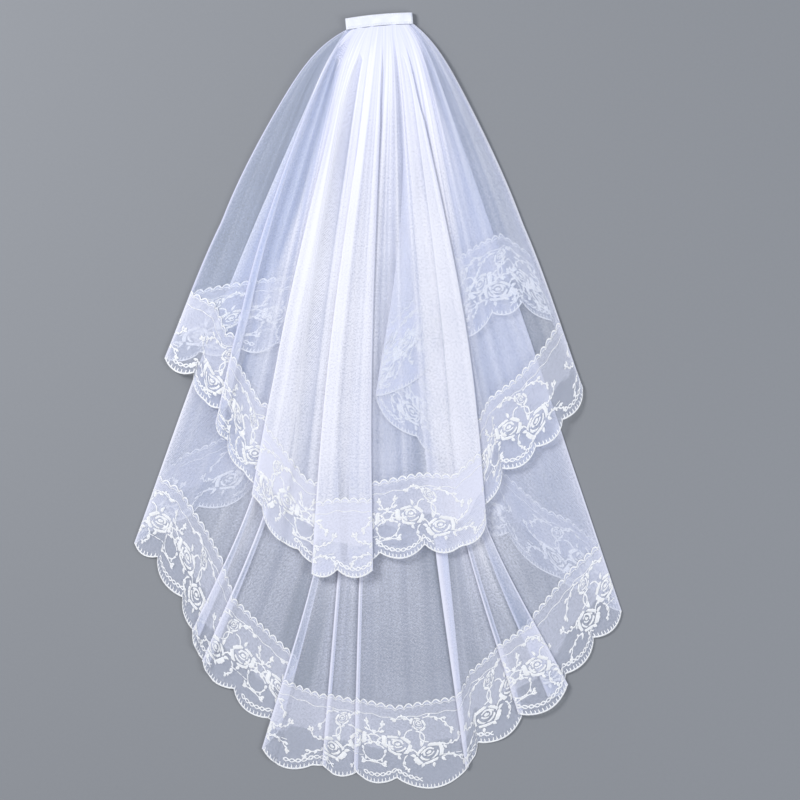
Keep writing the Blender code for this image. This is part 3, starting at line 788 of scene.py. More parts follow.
def make_room(pleat, inner, outer, columns, guide, way, flare):
    """Moves the columns on the two sides of a slope apart.

    The first of the inner ones and the last of the outer ones are folds, and stay.
    """

    def place(index, clear, wanted):
        shift = way * (wanted - clear)[:, None]
        columns[index]["plan"] = columns[index]["plan"] + columns[index]["across"] * shift

    clear = {index: way * beside(columns[index]["plan"], guide, flare) for index in (*inner, *outer)}
    for step, index in enumerate(inner[1:], start=1):
        most = np.maximum(clear[inner[0]], 0) + step * LEAST_STEP
        place(index, clear[index], clear[index] + pleat["lift"] * np.minimum(most - clear[index], 0))
    width, before = clear[outer[-1]], np.zeros(len(pleat["lift"]))
    for step, index in enumerate(outer[:-1], start=1):
        wanted = np.minimum(SETTLE_ROOM + step * SETTLE_STEP, width * (0.4 + 0.5 * step / len(outer)))
        least = np.maximum(pleat["lift"] * wanted, before + LEAST_STEP)
        before = np.minimum(np.maximum(clear[index], least), width - LEAST_STEP * (len(outer) - step))
        place(index, clear[index], before)


def flatten_gathers(pleat, lines, columns, flare):
    """Takes the gathers out of the cloth beside a pleat and under it."""
    for edge, guide, way in ((pleat["first"], pleat["last"], -1), (pleat["last"], pleat["first"], 1)):
        for index in to_next_fold(lines, edge, way)[:-1]:
            if columns[index] is not None:
                clear = way * beside(columns[index]["plan"], lines[guide], flare)
                columns[index]["gather"] *= smooth(clear, *GATHERS_FROM_PLEAT)


def lay_sheet(rows, rows_down, flare, base):
    """Mid-surface points (line, row, 3) and unit normals of one tier's tulle or lace."""
    lines, pleats = sheet_lines(rows)
    *_, upper, lower = line_ends(lines)
    length = (upper + lower)[:, None]
    t = rows_down(length, np.array([line["scallop"] for line in lines])[:, None])
    reach = t * length
    lift = smooth(reach, *PLEATS_RISE)
    points = down_the_lines(lines, t, flare)
    columns = []
    for line, plan, across, risen in zip(lines, points, across_of(points), lift):
        column = {"plan": plan + across * line["bulge"] * PLY_PITCH / 2, "across": across}
        column |= {"gather": line["gather"], "header": line["header"], "scallop": line["scallop"]}
        column["folded"] = 1.0 if line["fold"] else 0.0
        column["heading"] = line["heading"] if line["bulge"] or line["heading"] else None
        if "ply" in line:
            column["ply"] = line["floor"] + risen * (line["ply"] - line["floor"])
        columns.append(column)
    for pleat in pleats:
        pleat["lift"] = lift[pleat["first"]]
        pleat["top"] = pleat["floor"] + 2 * pleat["lift"]
        fold_pleat(pleat, columns, reach[pleat["first"]])
    added = {}
    for pleat in pleats:
        added |= settle(pleat, lines, columns, flare)
        flatten_gathers(pleat, lines, columns, flare)
    laid = []
    for index, column in enumerate(columns):
        laid += [column] if column else []
        laid += added.get(index, [])
    plan = np.array([column["plan"] for column in laid])
    reach = beyond_band(plan)
    height = GATHER_HEIGHT * smooth(reach, *GATHERS_GROW) * (1 - smooth(reach, *GATHERS_FADE))
    z = WALL / 2 + base(plan) + height * np.stack([column["gather"] + 0 * lift[0] for column in laid])
    z += PLY_PITCH * np.stack([column["ply"] for column in laid])
    grid = np.concatenate([plan, z[..., None]], axis=-1)
    return grid, normals_of(grid, laid), laid


def normals_of(grid, columns):
    """Unit normals: the surface's own, and through a fold those of its heading."""
    normal = unit(np.cross(np.gradient(grid, axis=0), np.gradient(grid, axis=1)))
    for index, column in enumerate(columns):
        if column["heading"] is not None:
            turn = np.radians(column["heading"])
            sideways = -np.sin(turn) * column["across"].T
            normal[index] = np.stack([*sideways, np.cos(turn) + 0 * sideways[0]], axis=-1)
    return normal


def tulle_shares(length, scallop):
    """Shares of each line's length for the rows of the tulle, which ends where the lace starts."""
    first = np.array(HEADER_ROWS) / length
    start = first[:, -1:]
    rest = start + TULLE_ROWS * (1 - (LACE_FLAT + scallop) / length - start)
    return np.concatenate([first, rest], axis=1)


def lace_shares(length, scallop):
    """Shares of each line's length for the rows of the lace, down to its scalloped edge."""
    start = 1 - (LACE_FLAT + LACE_RISE + scallop) / length
    return start + LACE_ROWS * (1 - start)


# What each tier lies on.


def beyond_band(plan):
    """Distance in plan from the lower edge of the header band."""
    cos, sin = math.cos(BAND_TILT), math.sin(BAND_TILT)
    run = plan[..., 0] * cos - plan[..., 1] * sin
    below = plan[..., 0] * sin + plan[..., 1] * cos - BAND_WIDTH / 2
    return np.hypot(np.maximum(np.abs(run) - BAND_LENGTH / 2, 0), np.maximum(below, 0))


def on_the_ground(plan):
    return np.zeros(plan.shape[:-1])


def upper_base(rows):
    """Gives the height on which the upper tier lies: the lower tier, and the ground beside it."""
    lines, _ = sheet_lines(rows)
    left, right = [line for line in lines if line["bulge"] and line["header"] in (0.0, BAND_LENGTH)]
    edges = [down_the_lines([line], GUIDE_ROWS[None], LOWER_FLARE)[0] for line in (left, right)]

    def base(plan):
        plies = PLIES_AT_HEADER + PLIES_OF_PLEATS * smooth(beyond_band(plan), *PLEATS_RISE)
        left_edge, right_edge = (np.interp(plan[..., 1], edge[:, 1], edge[:, 0]) for edge in edges)
        outside = np.maximum(left_edge - plan[..., 0], plan[..., 0] - right_edge)
        return PLY_PITCH * plies * (1 - smooth(outside, 0, DROOP_WIDTH))

    return base


# The sheets as seen: more lines and rows than the walls have, on the same surface.


def sheet_facts(rows, rows_down, flare, base):
    """A tier's sheet: its grid and upward normals, and for each column its place and its folds."""
    grid, normal, laid = lay_sheet(rows, rows_down, flare, base)
    header, scallop, folded = (
        np.array([column[fact] for column in laid]) for fact in ("header", "scallop", "folded")
    )
    if rows_down is tulle_shares:
        keep_in_order(grid, header)
    facts = {"grid": grid, "normal": normal * np.where(normal[..., 2:] < 0, -1.0, 1.0)}
    facts |= {"across": run_along(grid, 0), "header": header, "scallop": scallop}
    return facts | {"folded": folded, "crease": crease_ends(folded)}


def keep_in_order(grid, header):
    """Near the band no column of the front lies to the left of the one before it."""
    band = np.array([math.cos(BAND_TILT), -math.sin(BAND_TILT)])
    start = np.flatnonzero(header == header.min())[-1]
    front = slice(start, np.flatnonzero(header == header.max())[0] + 1)
    near = grid[front, : np.searchsorted(HEADER_ROWS, IN_ORDER_TO)]
    ways = np.gradient(near[..., :2], axis=1)
    kept = [0]
    for column in range(1, len(near)):
        away = near[column, :, :2] - near[kept[-1], :, :2]
        to_the_right = away[:, 0] * ways[kept[-1], :, 1] >= away[:, 1] * ways[kept[-1], :, 0]
        kept.append(column if to_the_right.all() else kept[-1])
    near = near[kept]
    near[..., :2] += LEAST_RUN * (np.arange(len(kept)) - kept)[:, None, None] * band
    grid[front, : near.shape[1]] = near


def crease_ends(folded):
    """Keeps only the first and last three columns of each run of folded ones: its two bends."""
    kept = np.zeros(len(folded))
    for start, end in fold_runs(folded):
        kept[start : start + BEND_LINES] = 1.0
        kept[end + 1 - BEND_LINES : end + 1] = 1.0
    return kept


def fold_runs(folded):
    """The first and the last column of each run of folded ones."""
    ends = np.flatnonzero(np.diff(np.r_[0, folded, 0]))
    return zip(ends[::2], ends[1::2] - 1)


def run_along(grid, axis):
    """Distance along the grid's lines (axis 1) or across them (axis 0), from its first point."""
    step = norm(np.diff(grid, axis=axis))
    start = np.zeros_like(np.take(step, [0], axis=axis))
    return np.cumsum(np.concatenate([start, step], axis=axis), axis=axis)


def streaks(header, seed):
    """Uneven gathering along the band: waves from fine to broad, each set off by the seed."""
    total = 0.0
    for index, (length, height) in enumerate(STREAK_WAVES):
        phase = math.sin(12.9898 * (index + 1) + 78.233 * seed) * 43.7
        total = total + height * np.sin(2 * math.pi * header / length + phase)
    return total


def bunches(header, down, table):
    """Where more or less cloth is drawn together: 1, and a bell for each row of the table."""
    total = np.ones_like(down)
    for middle, width, height, start, end in table:
        bell = np.exp(-(((header - middle) / width) ** 2))[:, None]
        reach = smooth(down, start, start + BUNCH_COMES) if start else 1.0
        total = total + height * bell * (reach * (1 - smooth(down, end - BUNCH_GOES, end)))
    return np.maximum(total, LEAST_BUNCH)


def gathered_cover(facts, tier):
    """How many times as dense as one flat layer the net looks, its place on the cloth, and its painted
    light and shade: lighter along its streaks and bunches, darker right under the band.
    """
    grid, header, across = facts["grid"], facts["header"], facts["across"]
    along, down = run_along(grid[:, -1:], 0)[:, 0], run_along(grid, 1)
    cut = CUT_AT_HEADER + (1 - CUT_AT_HEADER) * down / (down[:, -1:] + LACE_WIDTH)
    ahead, behind = (np.clip(along + way * SMOOTH_RUN, along[0], along[-1]) for way in (1, -1))
    taken = [np.interp(ahead, along, run) - np.interp(behind, along, run) for run in across.T]
    density = (ahead - behind)[:, None] * cut / np.maximum(np.stack(taken, axis=1), 1.0)
    left, near_band = tier["streaks_left"], np.exp(-down / AT_BAND_FADE)
    waves = streaks(header, tier["seed"])[:, None]
    uneven = np.exp(waves * (left + (1 - left) * np.exp(-down / STREAK_FADE)))
    rim = np.minimum(header, BAND_LENGTH - header)[:, None]
    x, y = grid[..., 0], grid[..., 1]
    inside = np.minimum(x - np.interp(y, *DENSE_LEFT), np.interp(y, *DENSE_RIGHT) - x)
    thin = smooth(rim, *tier["rim"]) * smooth(inside, -DENSE_SOFT, DENSE_SOFT / 2)
    sides = tier["sides"]
    side = sides[0] + (sides[1] - sides[0]) * smooth(header, 0, BAND_LENGTH)[:, None]
    side = side + (1 - side) * smooth(down, *SIDE_FADE)
    bunched = bunches(header, down, tier["bunches"])
    cover = np.clip(density, LEAST_GATHERED, MOST_GATHERED) ** GATHERED_POWER * uneven
    cover = cover * bunched * (1 + AT_BAND * near_band)
    uneven_side = side * uneven**0.5
    cover = (uneven_side + (cover - uneven_side) * thin**SIDE_SOFTNESS) * tilted(facts)
    cover = cover + fold_glow(facts) * (side + (1 - side) * thin)
    centre = along[len(along) // 2]
    cloth = np.stack([centre + (along[:, None] - centre) * cut, down, 0 * down], axis=-1)
    # Painted light and shade of the gathers: the dense net's colour is painted lighter where more cloth
    # is gathered or bunched, and darker right under the band.
    streak = np.log(uneven) * (1 - near_band / 2) + BUNCHES_PAINTED_LIGHTER * np.log(bunched) * (1 - near_band)
    return cover * tier["cover"] * thin_pleats(facts, down), cloth, streak - PAINTED_SHADE_AT_BAND * near_band


def tilted(facts):
    """How much denser the net looks where it stands on edge."""
    facing = np.maximum(np.abs(facts["normal"][..., 2]), LEAST_FACING)
    return np.minimum(1 / facing, MOST_TILT) ** TILT_POWER


def thin_pleats(facts, down):
    """Share of its cover that each layer of a pleat keeps, far down the long tier."""
    across = facts["across"]
    left = np.ones_like(across)
    for start, end in fold_runs(facts["folded"]):
        width = across[end] - across[start]
        beyond = np.maximum(across[start] - across, across - across[end])
        past = smooth(beyond, width - PLEAT_SOFT, width + PLEAT_SOFT)
        outer = OUTER_LAYERS + (1 - OUTER_LAYERS) * past
        left = np.minimum(left, np.where(beyond > 0, outer, BACK_LAYER))
    return 1 + (left - 1) * smooth(down, *PLEATS_THIN)


def fold_glow(facts):
    """Extra cover beside each fold, which fades within a few millimetres of it."""
    across = facts["across"]
    glow = np.zeros_like(across)
    for fold in np.flatnonzero(facts["crease"]):
        glow = np.maximum(glow, np.exp(-np.abs(across - across[fold]) / FOLD_GLOW_WIDTH))
    return FOLD_GLOW * glow


def grid_quads(index):
    """The quads between neighbouring points of a grid, from the points' numbers."""
    corners = [index[:-1, :-1], index[:-1, 1:], index[1:, 1:], index[1:, :-1]]
    return np.stack(corners, axis=-1).reshape(-1, 4)


def grid_object(name, grid, material_, **attributes):
    """A sheet of quads over a grid of points in table millimetres, with its point attributes."""
    index = np.arange(grid[..., 0].size).reshape(grid.shape[:2])
    return mesh_object(name, grid.reshape(-1, 3), grid_quads(index), material_, **attributes)


def mesh_object(name, points, quads, material_, **attributes):
    mesh = bpy.data.meshes.new(name)
    mesh.from_pydata(to_world(points), [], quads.tolist())
    for label, values in attributes.items():
        kind, part = ("FLOAT_VECTOR", "vector") if values.ndim == 3 else ("FLOAT", "value")
        layer = mesh.attributes.new(label, kind, "POINT")
        layer.data.foreach_set(part, values.astype(np.float32).ravel())
    mesh.materials.append(material_)
    mesh.update()
    flatten_tight_folds(mesh)
    return add_object(name, mesh)


def add_object(name, data, place=(0, 0, 0)):
    made = bpy.data.objects.new(name, data)
    made.location = place
    bpy.context.scene.collection.objects.link(made)
    return made


def flatten_tight_folds(mesh):
    """Shades a quad flat where a corner's averaged normal has turned far away from its own."""
    faces, corners = len(mesh.polygons), len(mesh.loops)
    flat, soft = np.empty(faces * 3), np.empty(len(mesh.vertices) * 3)
    mesh.polygons.foreach_get("normal", flat)
    mesh.vertices.foreach_get("normal", soft)
    vertex, start = np.empty(corners, np.int32), np.empty(faces, np.int32)
    mesh.loops.foreach_get("vertex_index", vertex)
    mesh.polygons.foreach_get("loop_start", start)
    face = np.repeat(np.arange(faces), np.diff(np.r_[start, corners]))
    turned = np.sum(flat.reshape(-1, 3)[face] * soft.reshape(-1, 3)[vertex], axis=1)
    mesh.polygons.foreach_set("use_smooth", np.minimum.reduceat(turned, start) > LEAST_SMOOTH)
    mesh.update()


def to_world(points):
    """From table millimetres (across, down, up) to the frame's metres."""
    points = np.asarray(points, float)
    plan = (points[:, :2] - TABLE_MIDDLE) * (1, -1)
    return np.concatenate([plan, points[:, 2:]], axis=1) * MM


# The embroidery of the lace, drawn on the flat strip: s runs along it, and v from its inner edge
# (0) to its outer edge. Each patch is a grid of points (s, v, height above the net).


def ribbon(path, width, height, closed=False):
    """A flat crowned cord along a path."""
    path = np.asarray(path, float)
    if closed:
        path = np.concatenate([path, path[:1]])
        along = np.gradient(np.concatenate([path[-2:-1], path, path[1:2]]), axis=0)[1:-1]
    else:
        along = np.gradient(path, axis=0)
    along = unit(along)
    half = np.broadcast_to(width, len(path))[:, None] / 2
    side = np.stack([-along[:, 1], along[:, 0]], axis=1) * half
    patch = np.zeros((len(path), 3, 3))
    for column, (out, up) in enumerate(((-1, THREAD_FOOT), (0, height), (1, THREAD_FOOT))):
        patch[:, column, :2] = path + out * side
        patch[:, column, 2] = up
    return patch


def bow(start, end, lean, count):
    """A path of count points from start to end that bows sideways by a share of its length."""
    start, end = np.array(start, float), np.array(end, float)
    t = np.linspace(0, 1, count)[:, None]
    side = np.array([start[1] - end[1], end[0] - start[0]])
    return start + (end - start) * t + side * lean * 4 * t * (1 - t)


def towards(angle):
    return np.array([math.cos(angle), math.sin(angle)])


def leaf(root, angle, length, width):
    """A slim pointed leaf, raised along its midrib."""
    t = np.linspace(0, 1, 7)
    spread = width * np.sin(math.pi * t**0.75) ** 0.9 + 0.25
    return ribbon(bow(root, root + length * towards(angle), 0.12, 7), spread, LEAF_HEIGHT)


def petal(centre, turn, angle, near, far, spread):
    """One petal of a rose: a rounded fan between two radii, with a waved outer edge."""
    u = np.linspace(-1, 1, 9)[None, :]
    w = np.linspace(0, 1, 5)[:, None]
    outer = far * (1 - 0.03 * u**2 - 0.10 * u**6 + 0.025 * np.cos(3 * math.pi * u))
    radius = near * (1 + 0.12 * u**2) + (outer - near) * w
    theta = angle + u * spread / 2 * (0.90 + 0.10 * np.sin(math.pi * w))
    x, y = radius * np.cos(theta), radius * np.sin(theta) * ROSE_SQUASH
    height = THREAD_FOOT + LEAF_HEIGHT * np.sin(math.pi * np.clip(w, 0.08, 0.92)) * (1 - 0.6 * u**4)
    cos, sin = towards(turn)
    return np.stack([centre[0] + x * cos - y * sin, centre[1] + x * sin + y * cos, height], axis=-1)


def rose(centre, size, turn):
    """A full rose seen from a little aside: two rings of petals, and its heart and bud."""
    heart = np.add(centre, size * HEART_ASIDE * np.array([math.sin(turn), -math.cos(turn)]))
    made = []
    for angle, near, far, spread in ROSE_PETALS:
        middle = centre if near > HEART else heart
        angle, spread = math.radians(angle), math.radians(spread)
        made.append(petal(middle, turn, angle, near * size, far * size, spread))
    return made


def twig(start, end, lean, shoots, length, first_side):
    """A knotty twig of uneven width with short forked shoots on its two sides."""
    order = np.arange(4 * shoots + 1)
    path = bow(start, end, lean, len(order))
    ways = unit(np.gradient(path, axis=0))
    sway = TWIG_SWAY * np.sin(order * math.pi / 2) * (0.4 + 0.6 * order / len(order))
    path = path + np.stack([-ways[:, 1], ways[:, 0]], axis=1) * sway[:, None]
    headings = np.arctan2(ways[:, 1], ways[:, 0])
    made = [ribbon(path, STEM_WIDTH * (1 + 0.35 * np.sin(2.3 * order + length)), STEM_HEIGHT)]
    for index in range(shoots):
        at = 4 * index + 3
        side = first_side * (1 if index % 2 else -1)
        turn = side * math.radians(38 + 12 * math.sin(2.2 * index + length))
        long_ = length * (0.75 + 0.25 * math.sin(1.7 * index + lean * 9))
        made += shoot(path[at], headings[at] + turn, long_, side)
    made += shoot(path[-1], headings[-1] + 0.35 * first_side, 0.7 * length, first_side)
    made += shoot(path[-1], headings[-1] - 0.5 * first_side, 0.5 * length, -first_side)
    return made


def shoot(root, angle, length, side):
    """A short blunt shoot with a smaller one forking off it."""
    path = bow(root, root + length * towards(angle), 0.12 * side, 5)
    tip = path[2] + 0.42 * length * towards(angle - 0.9 * side)
    cords = ((path, (0.4, 0.85, 1.0, 0.9, 0.45)), (bow(path[2], tip, 0.1, 3), (0.5, 0.75, 0.4)))
    return [ribbon(cord, SHOOT_WIDTH * np.array(widths), LEAF_HEIGHT) for cord, widths in cords]


def motif(start, mirrored):
    """One group of flowers on the strip, with this start along it."""
    made = []
    for row in ROSES:
        made += rose(*row)
    for row in TWIGS:
        made += twig(*row)
    made += [ribbon(bow(*row, 10), STEM_WIDTH, STEM_HEIGHT) for row in STEMS]
    for middle, angles, slant, unevenness, width in LEAVES:
        for angle in angles:
            root = np.add(middle, LEAF_RING * towards(angle))
            length = LEAF_LENGTH + 1.5 * math.sin(unevenness * angle)
            made.append(leaf(root, angle + slant, length, width))
    for patch in made:
        if mirrored:
            patch[..., 0] = MOTIF_LENGTH - patch[..., 0]
        patch[..., 0] += start
    return made


def edge_vine(start, end, width_at):
    """Two thin stems that twine round each other along the scallops, with a ring in each bend."""

    def path(s, aside=0.0):
        return np.stack([s, width_at(s) - VINE_FROM_HEM + aside], axis=-1)

    s = np.arange(start, end, 1.8)
    sway = VINE_SWAY * np.sin(2 * math.pi * (s - start) / VINE_PITCH)
    made = [ribbon(path(s, way * sway), STEM_WIDTH * 0.85, STEM_HEIGHT) for way in (1, -1)]
    angles = np.linspace(0, 2 * math.pi, 10, endpoint=False)
    for middle in np.arange(start + VINE_PITCH / 4, end - 2, VINE_PITCH):
        ring = path(middle) + RING_SIZE * np.stack([np.cos(angles), np.sin(angles)], axis=1)
        made.append(ribbon(ring, 0.9, STEM_HEIGHT, closed=True))
    return made


def dashes(start, end):
    """A row of long stitches."""
    paths = [
        bow((at, DASH_ROW), (at + DASH, DASH_ROW), 0.02, 3)
        for at in np.arange(start, end - DASH, DASH + DASH_GAP)
    ]
    return [ribbon(path, 1.0, STEM_HEIGHT) for path in paths]


def strip_edges(length, width_at):
    """The cords along the two edges of the strip, their small arches and the teeth of the hem."""
    fine, coarse = (np.arange(0.6, length - 0.4, step) for step in (1.25, 2.5))
    arch = ARCH_DEPTH * np.abs(np.sin(math.pi * fine / ARCH_PITCH)) ** ARCH_FULLNESS
    cords = (
        (fine, 0.9 - arch, 1.6, STEM_HEIGHT),
        (fine, 2.6 - 0.5 * arch, 0.7, STEM_HEIGHT),
        (coarse, 12 + 0.9 * np.sin(2 * math.pi * coarse / 23), 0.9, STEM_HEIGHT),
        (coarse, width_at(coarse) - 0.9, 1.9, STEM_HEIGHT * 1.3),
    )
    made = [ribbon(np.stack([s, v], axis=1), width, height) for s, v, width, height in cords]
    for at in np.arange(3.0, length - 2, TOOTH_PITCH):
        inner = (at + 0.5 * math.sin(at), width_at(at) - TOOTH_LENGTH)
        made.append(ribbon(bow((at, width_at(at) - 0.9), inner, 0.05, 3), (1.7, 1.4, 0.9), STEM_HEIGHT))
    return made


def embroidery(length, width_at, offset, crumpled):
    """All the patches of a strip of lace of this length, with twice the flowers from crumpled on."""
    made = []
    for start in np.arange(crumpled + MOTIF_LENGTH / 4, length, MOTIF_LENGTH):
        made += motif(start, False)
    for index in range(-1, math.ceil((length - offset) / MOTIF_LENGTH) + 1):
        start = offset + index * MOTIF_LENGTH
        made += motif(start, index % 2 == 1)
        vine = (max(start + VINE[0], 1), min(start + VINE[1], length - 1))
        made += edge_vine(*vine, width_at) if vine[1] - vine[0] > VINE_PITCH else []
        made += dashes(start + DASHES[0], start + DASHES[1])
    kept = strip_edges(length, width_at)
    for patch in made:
        s = patch[..., 0]
        inside = s.min() > END_CLEAR and s.max() < length - END_CLEAR
        if inside and (width_at(s) - patch[..., 1]).min() > HEM_CLEAR:
            kept.append(patch)
    for patch in kept:
        np.clip(patch[..., 0], 0.0, length, out=patch[..., 0])
    return kept


def join_patches(patches):
    """All the points of these patches, their quads, and each point's distance along its cord."""
    quads, stitch, total = [], [], 0
    for patch in patches:
        rows, columns = patch.shape[:2]
        quads.append(grid_quads(total + np.arange(rows * columns).reshape(rows, columns)))
        steps = norm(np.diff(patch[:, columns // 2, :2], axis=0))
        stitch.append(np.repeat(np.cumsum(np.r_[0, steps]), columns))
        total += rows * columns
    points = [patch.reshape(-1, 3) for patch in patches]
    return np.concatenate(points), np.concatenate(quads), np.concatenate(stitch)


def lay_on_lace(flat, facts, run, width):
    """Where points of the flat strip lie on the lace, in table millimetres."""
    s, v = flat[:, 0], flat[:, 1]
    last = facts["grid"].shape[1] - 1
    column = np.clip(np.searchsorted(run, s) - 1, 0, len(run) - 2)
    f = np.clip((s - run[column]) / np.maximum(run[column + 1] - run[column], 1e-6), 0, 1)[:, None]
    depth = np.clip((v + LACE_RISE) / (np.interp(s, run, width) + LACE_RISE), 0, 1) * last
    row = np.clip(depth.astype(int), 0, last - 1)
    g = (depth - row)[:, None]

    def sample(values):
        near = values[column, row] * (1 - g) + values[column, row + 1] * g
        far = values[column + 1, row] * (1 - g) + values[column + 1, row + 1] * g
        return near * (1 - f) + far * f

    return sample(facts["grid"]) + sample(facts["normal"]) * flat[:, 2:]


# Materials.


class Tree:
    """Short names for making a material's nodes."""

    def __init__(self, name):
        self.material = bpy.data.materials.new(name)
        self.material.use_nodes = True
        self.nodes = self.material.node_tree.nodes
        self.links = self.material.node_tree.links
        self.shader = self.nodes["Principled BSDF"]

    def put(self, socket, value):
        if isinstance(value, bpy.types.NodeSocket):
            self.links.new(value, socket)
        else:
            socket.default_value = value

    def node(self, kind, output=0, settings=(), **inputs):
        """A node's output; inputs are named, or numbered as in in0 and in1."""
        made = self.nodes.new(kind)
        for key, value in dict(settings).items():
            setattr(made, key, value)
        for key, value in inputs.items():
            number = key[2:] if key.startswith("in") else ""
            place = int(number) if number.isdigit() else key.replace("_", " ")
            self.put(made.inputs[place], value)
        return made.outputs[output]

    def math(self, operation, *values, clamp=False):
        inputs = {f"in{index}": value for index, value in enumerate(values)}
        settings = {"operation": operation, "use_clamp": clamp}
        return self.node("ShaderNodeMath", 0, settings, **inputs)

    def times(self, product, *values):
        for value in values:
            product = self.math("MULTIPLY", product, value)
        return product

    def plus(self, *values):
        return self.math("ADD", *values)

    def vector(self, operation, *values, output=0):
        inputs = {f"in{index}": value for index, value in enumerate(values)}
        return self.node("ShaderNodeVectorMath", output, {"operation": operation}, **inputs)

    def parts(self, vector):
        split = self.node("ShaderNodeSeparateXYZ", Vector=vector)
        return split, split.node.outputs[1]

    def attribute(self, name, output="Fac"):
        return self.node("ShaderNodeAttribute", output, {"attribute_name": name})

    def position(self):
        return self.node("ShaderNodeTexCoord", "Object")

    def mix(self, share, one, other):
        return self.node("ShaderNodeMix", 2, {"data_type": "RGBA"}, in0=share, in6=one, in7=other)

    def ramp(self, value, start, end, low=0.0, high=1.0):
        inputs = {"in0": value, "in1": start, "in2": end, "in3": low, "in4": high}
        settings = {"interpolation_type": "SMOOTHSTEP"}
        return self.node("ShaderNodeMapRange", 0, settings, **inputs)

    def noise(self, vector, scale, detail=2.0):
        return self.node("ShaderNodeTexNoise", Vector=vector, Scale=scale, Detail=detail)

    def bump(self, height, strength, distance):
        return self.node("ShaderNodeBump", Height=height, Strength=strength, Distance=distance)

    def finish(self, **inputs):
        for key, value in inputs.items():
            self.put(self.shader.inputs[key.replace("_", " ")], value)
        return self.material


def net_threads(tree, cloth, pitch):
    """1 on the threads of a fine six-sided net and 0 in its holes.

    The holes lie round the corners and the centres of cells that tile the cloth.
    """
    warp = tree.node("ShaderNodeTexNoise", 1, Vector=cloth, Scale=0.11, Detail=1.0)
    bent = tree.vector("MULTIPLY_ADD", warp, (NET_WANDER,) * 3, cloth)
    place = tree.vector("MULTIPLY", bent, (1 / pitch, 1 / pitch, 0.0))
    cell, half = (1.0, math.sqrt(3), 1.0), (0.5, math.sqrt(3) / 2, 0.5)
    corner, centre = (
        tree.vector("SUBTRACT", tree.vector("WRAP", from_, cell, (0.0, 0.0, 0.0)), half)
        for from_ in (place, tree.vector("SUBTRACT", place, half))
    )
    nearness = [tree.vector("DOT_PRODUCT", found, found, output=1) for found in (corner, centre)]
    nearer = {"in0": tree.math("LESS_THAN", *nearness), "in4": centre, "in5": corner}
    found = tree.node("ShaderNodeMix", 1, {"data_type": "VECTOR"}, **nearer)
    x, y = tree.parts(tree.vector("ABSOLUTE", found))
    slant = tree.plus(tree.times(x, 0.5), tree.times(y, math.sqrt(3) / 2))
    return tree.ramp(tree.math("MAXIMUM", x, slant), 0.32, 0.45)


def net_weave(tree, place, pitch, unevenness):
    """The threads of a net, how much they close it, and its uneven grain."""
    threads = net_threads(tree, place, pitch)
    grain = tree.ramp(tree.noise(place, 0.42, 3.0), 0.3, 0.7, 1 - unevenness, 1 + unevenness)
    return threads, tree.plus(NET_HOLE_SHARE, tree.times(threads, NET_THREAD_SHARE)), grain


def net_finish(tree, cover, threads):
    """A see-through net that is whiter and closer where it is denser, and along its creases. Its dense
    colour is painted lighter and darker along the gathers: painted light and shade.
    """
    crease = tree.attribute("crease")
    sharp = tree.times(tree.math("POWER", crease, 4.0), CREASE_SHARP)
    cover = tree.plus(cover, tree.plus(sharp, tree.times(crease, CREASE_SOFT)))
    alpha = tree.math("SUBTRACT", 1.0, tree.math("POWER", NET_OPEN, cover), clamp=True)
    # The dense net's colour: a darker and a lighter copy, mixed by the painted light and shade of the
    # gathers.
    dense = tree.mix(tree.ramp(tree.attribute("streak"), -0.7, 0.6), NET_DENSE_SHADED, NET_DENSE_LIT)
    return tree.finish(
        Base_Color=tree.mix(tree.ramp(alpha, 0.15, 0.65), NET_THIN, dense),
        Roughness=tree.math("SUBTRACT", 0.72, tree.times(threads, 0.14)),
        Alpha=alpha,
        Normal=tree.bump(threads, 0.10, 0.0003),
        Sheen_Weight=0.35,
        Sheen_Roughness=0.4,
        Sheen_Tint=(0.92, 0.95, 1.0, 1),
        Specular_IOR_Level=0.3,
    )


def tulle_material():
    tree = Tree("tulle_net")
    cloth = tree.attribute("cloth", "Vector")
    threads, holes, grain = net_weave(tree, cloth, NET_PITCH, 0.35)
    cloud = tree.ramp(tree.noise(cloth, 0.018), 0.25, 0.75, 0.85, 1.15)
    return net_finish(tree, tree.times(tree.attribute("cover"), holes, grain, cloud), threads)


def lace_net_material():
    """The ground of the lace, with the tulle's edge uneven under it and its own edge in arches."""
    tree = Tree("lace_net")
    strip = tree.attribute("strip", "Vector")
    s, v = tree.parts(strip)
    threads, holes, grain = net_weave(tree, strip, LACE_NET_PITCH, 0.25)
    wander = tree.times(tree.math("SUBTRACT", tree.noise(strip, 0.02, 3.0), 0.5), 60.0)
    under = tree.ramp(tree.plus(v, wander), TULLE_UNDER_LACE - 2, TULLE_UNDER_LACE + 2, 1.0, 0.0)
    cover = tree.plus(LACE_NET_COVER, tree.times(under, TULLE_UNDER_COVER))
    wave = tree.math("ABSOLUTE", tree.math("SINE", tree.times(s, math.pi / ARCH_PITCH)))
    edge = tree.plus(v, tree.times(tree.math("POWER", wave, ARCH_FULLNESS), ARCH_DEPTH))
    cut = tree.ramp(edge, 0.8, 1.4)
    return net_finish(tree, tree.times(cover, grain, holes, tree.attribute("cover"), cut), threads)


def thread_material():
    tree = Tree("lace_thread")
    ridges = tree.math("SINE", tree.times(tree.attribute("stitch"), 2 * math.pi / STITCH_PITCH))
    mottle = tree.noise(tree.position(), 420.0)
    return tree.finish(
        Base_Color=tree.mix(tree.ramp(mottle, 0.35, 0.65), (0.93, 0.95, 1.0, 1), (0.98, 0.985, 1.0, 1)),
        Roughness=tree.ramp(ridges, -1.0, 1.0, 0.5, 0.38),
        Normal=tree.bump(tree.plus(ridges, mottle), 0.5, 0.0003),
        Sheen_Weight=0.4,
        Sheen_Roughness=0.3,
    )


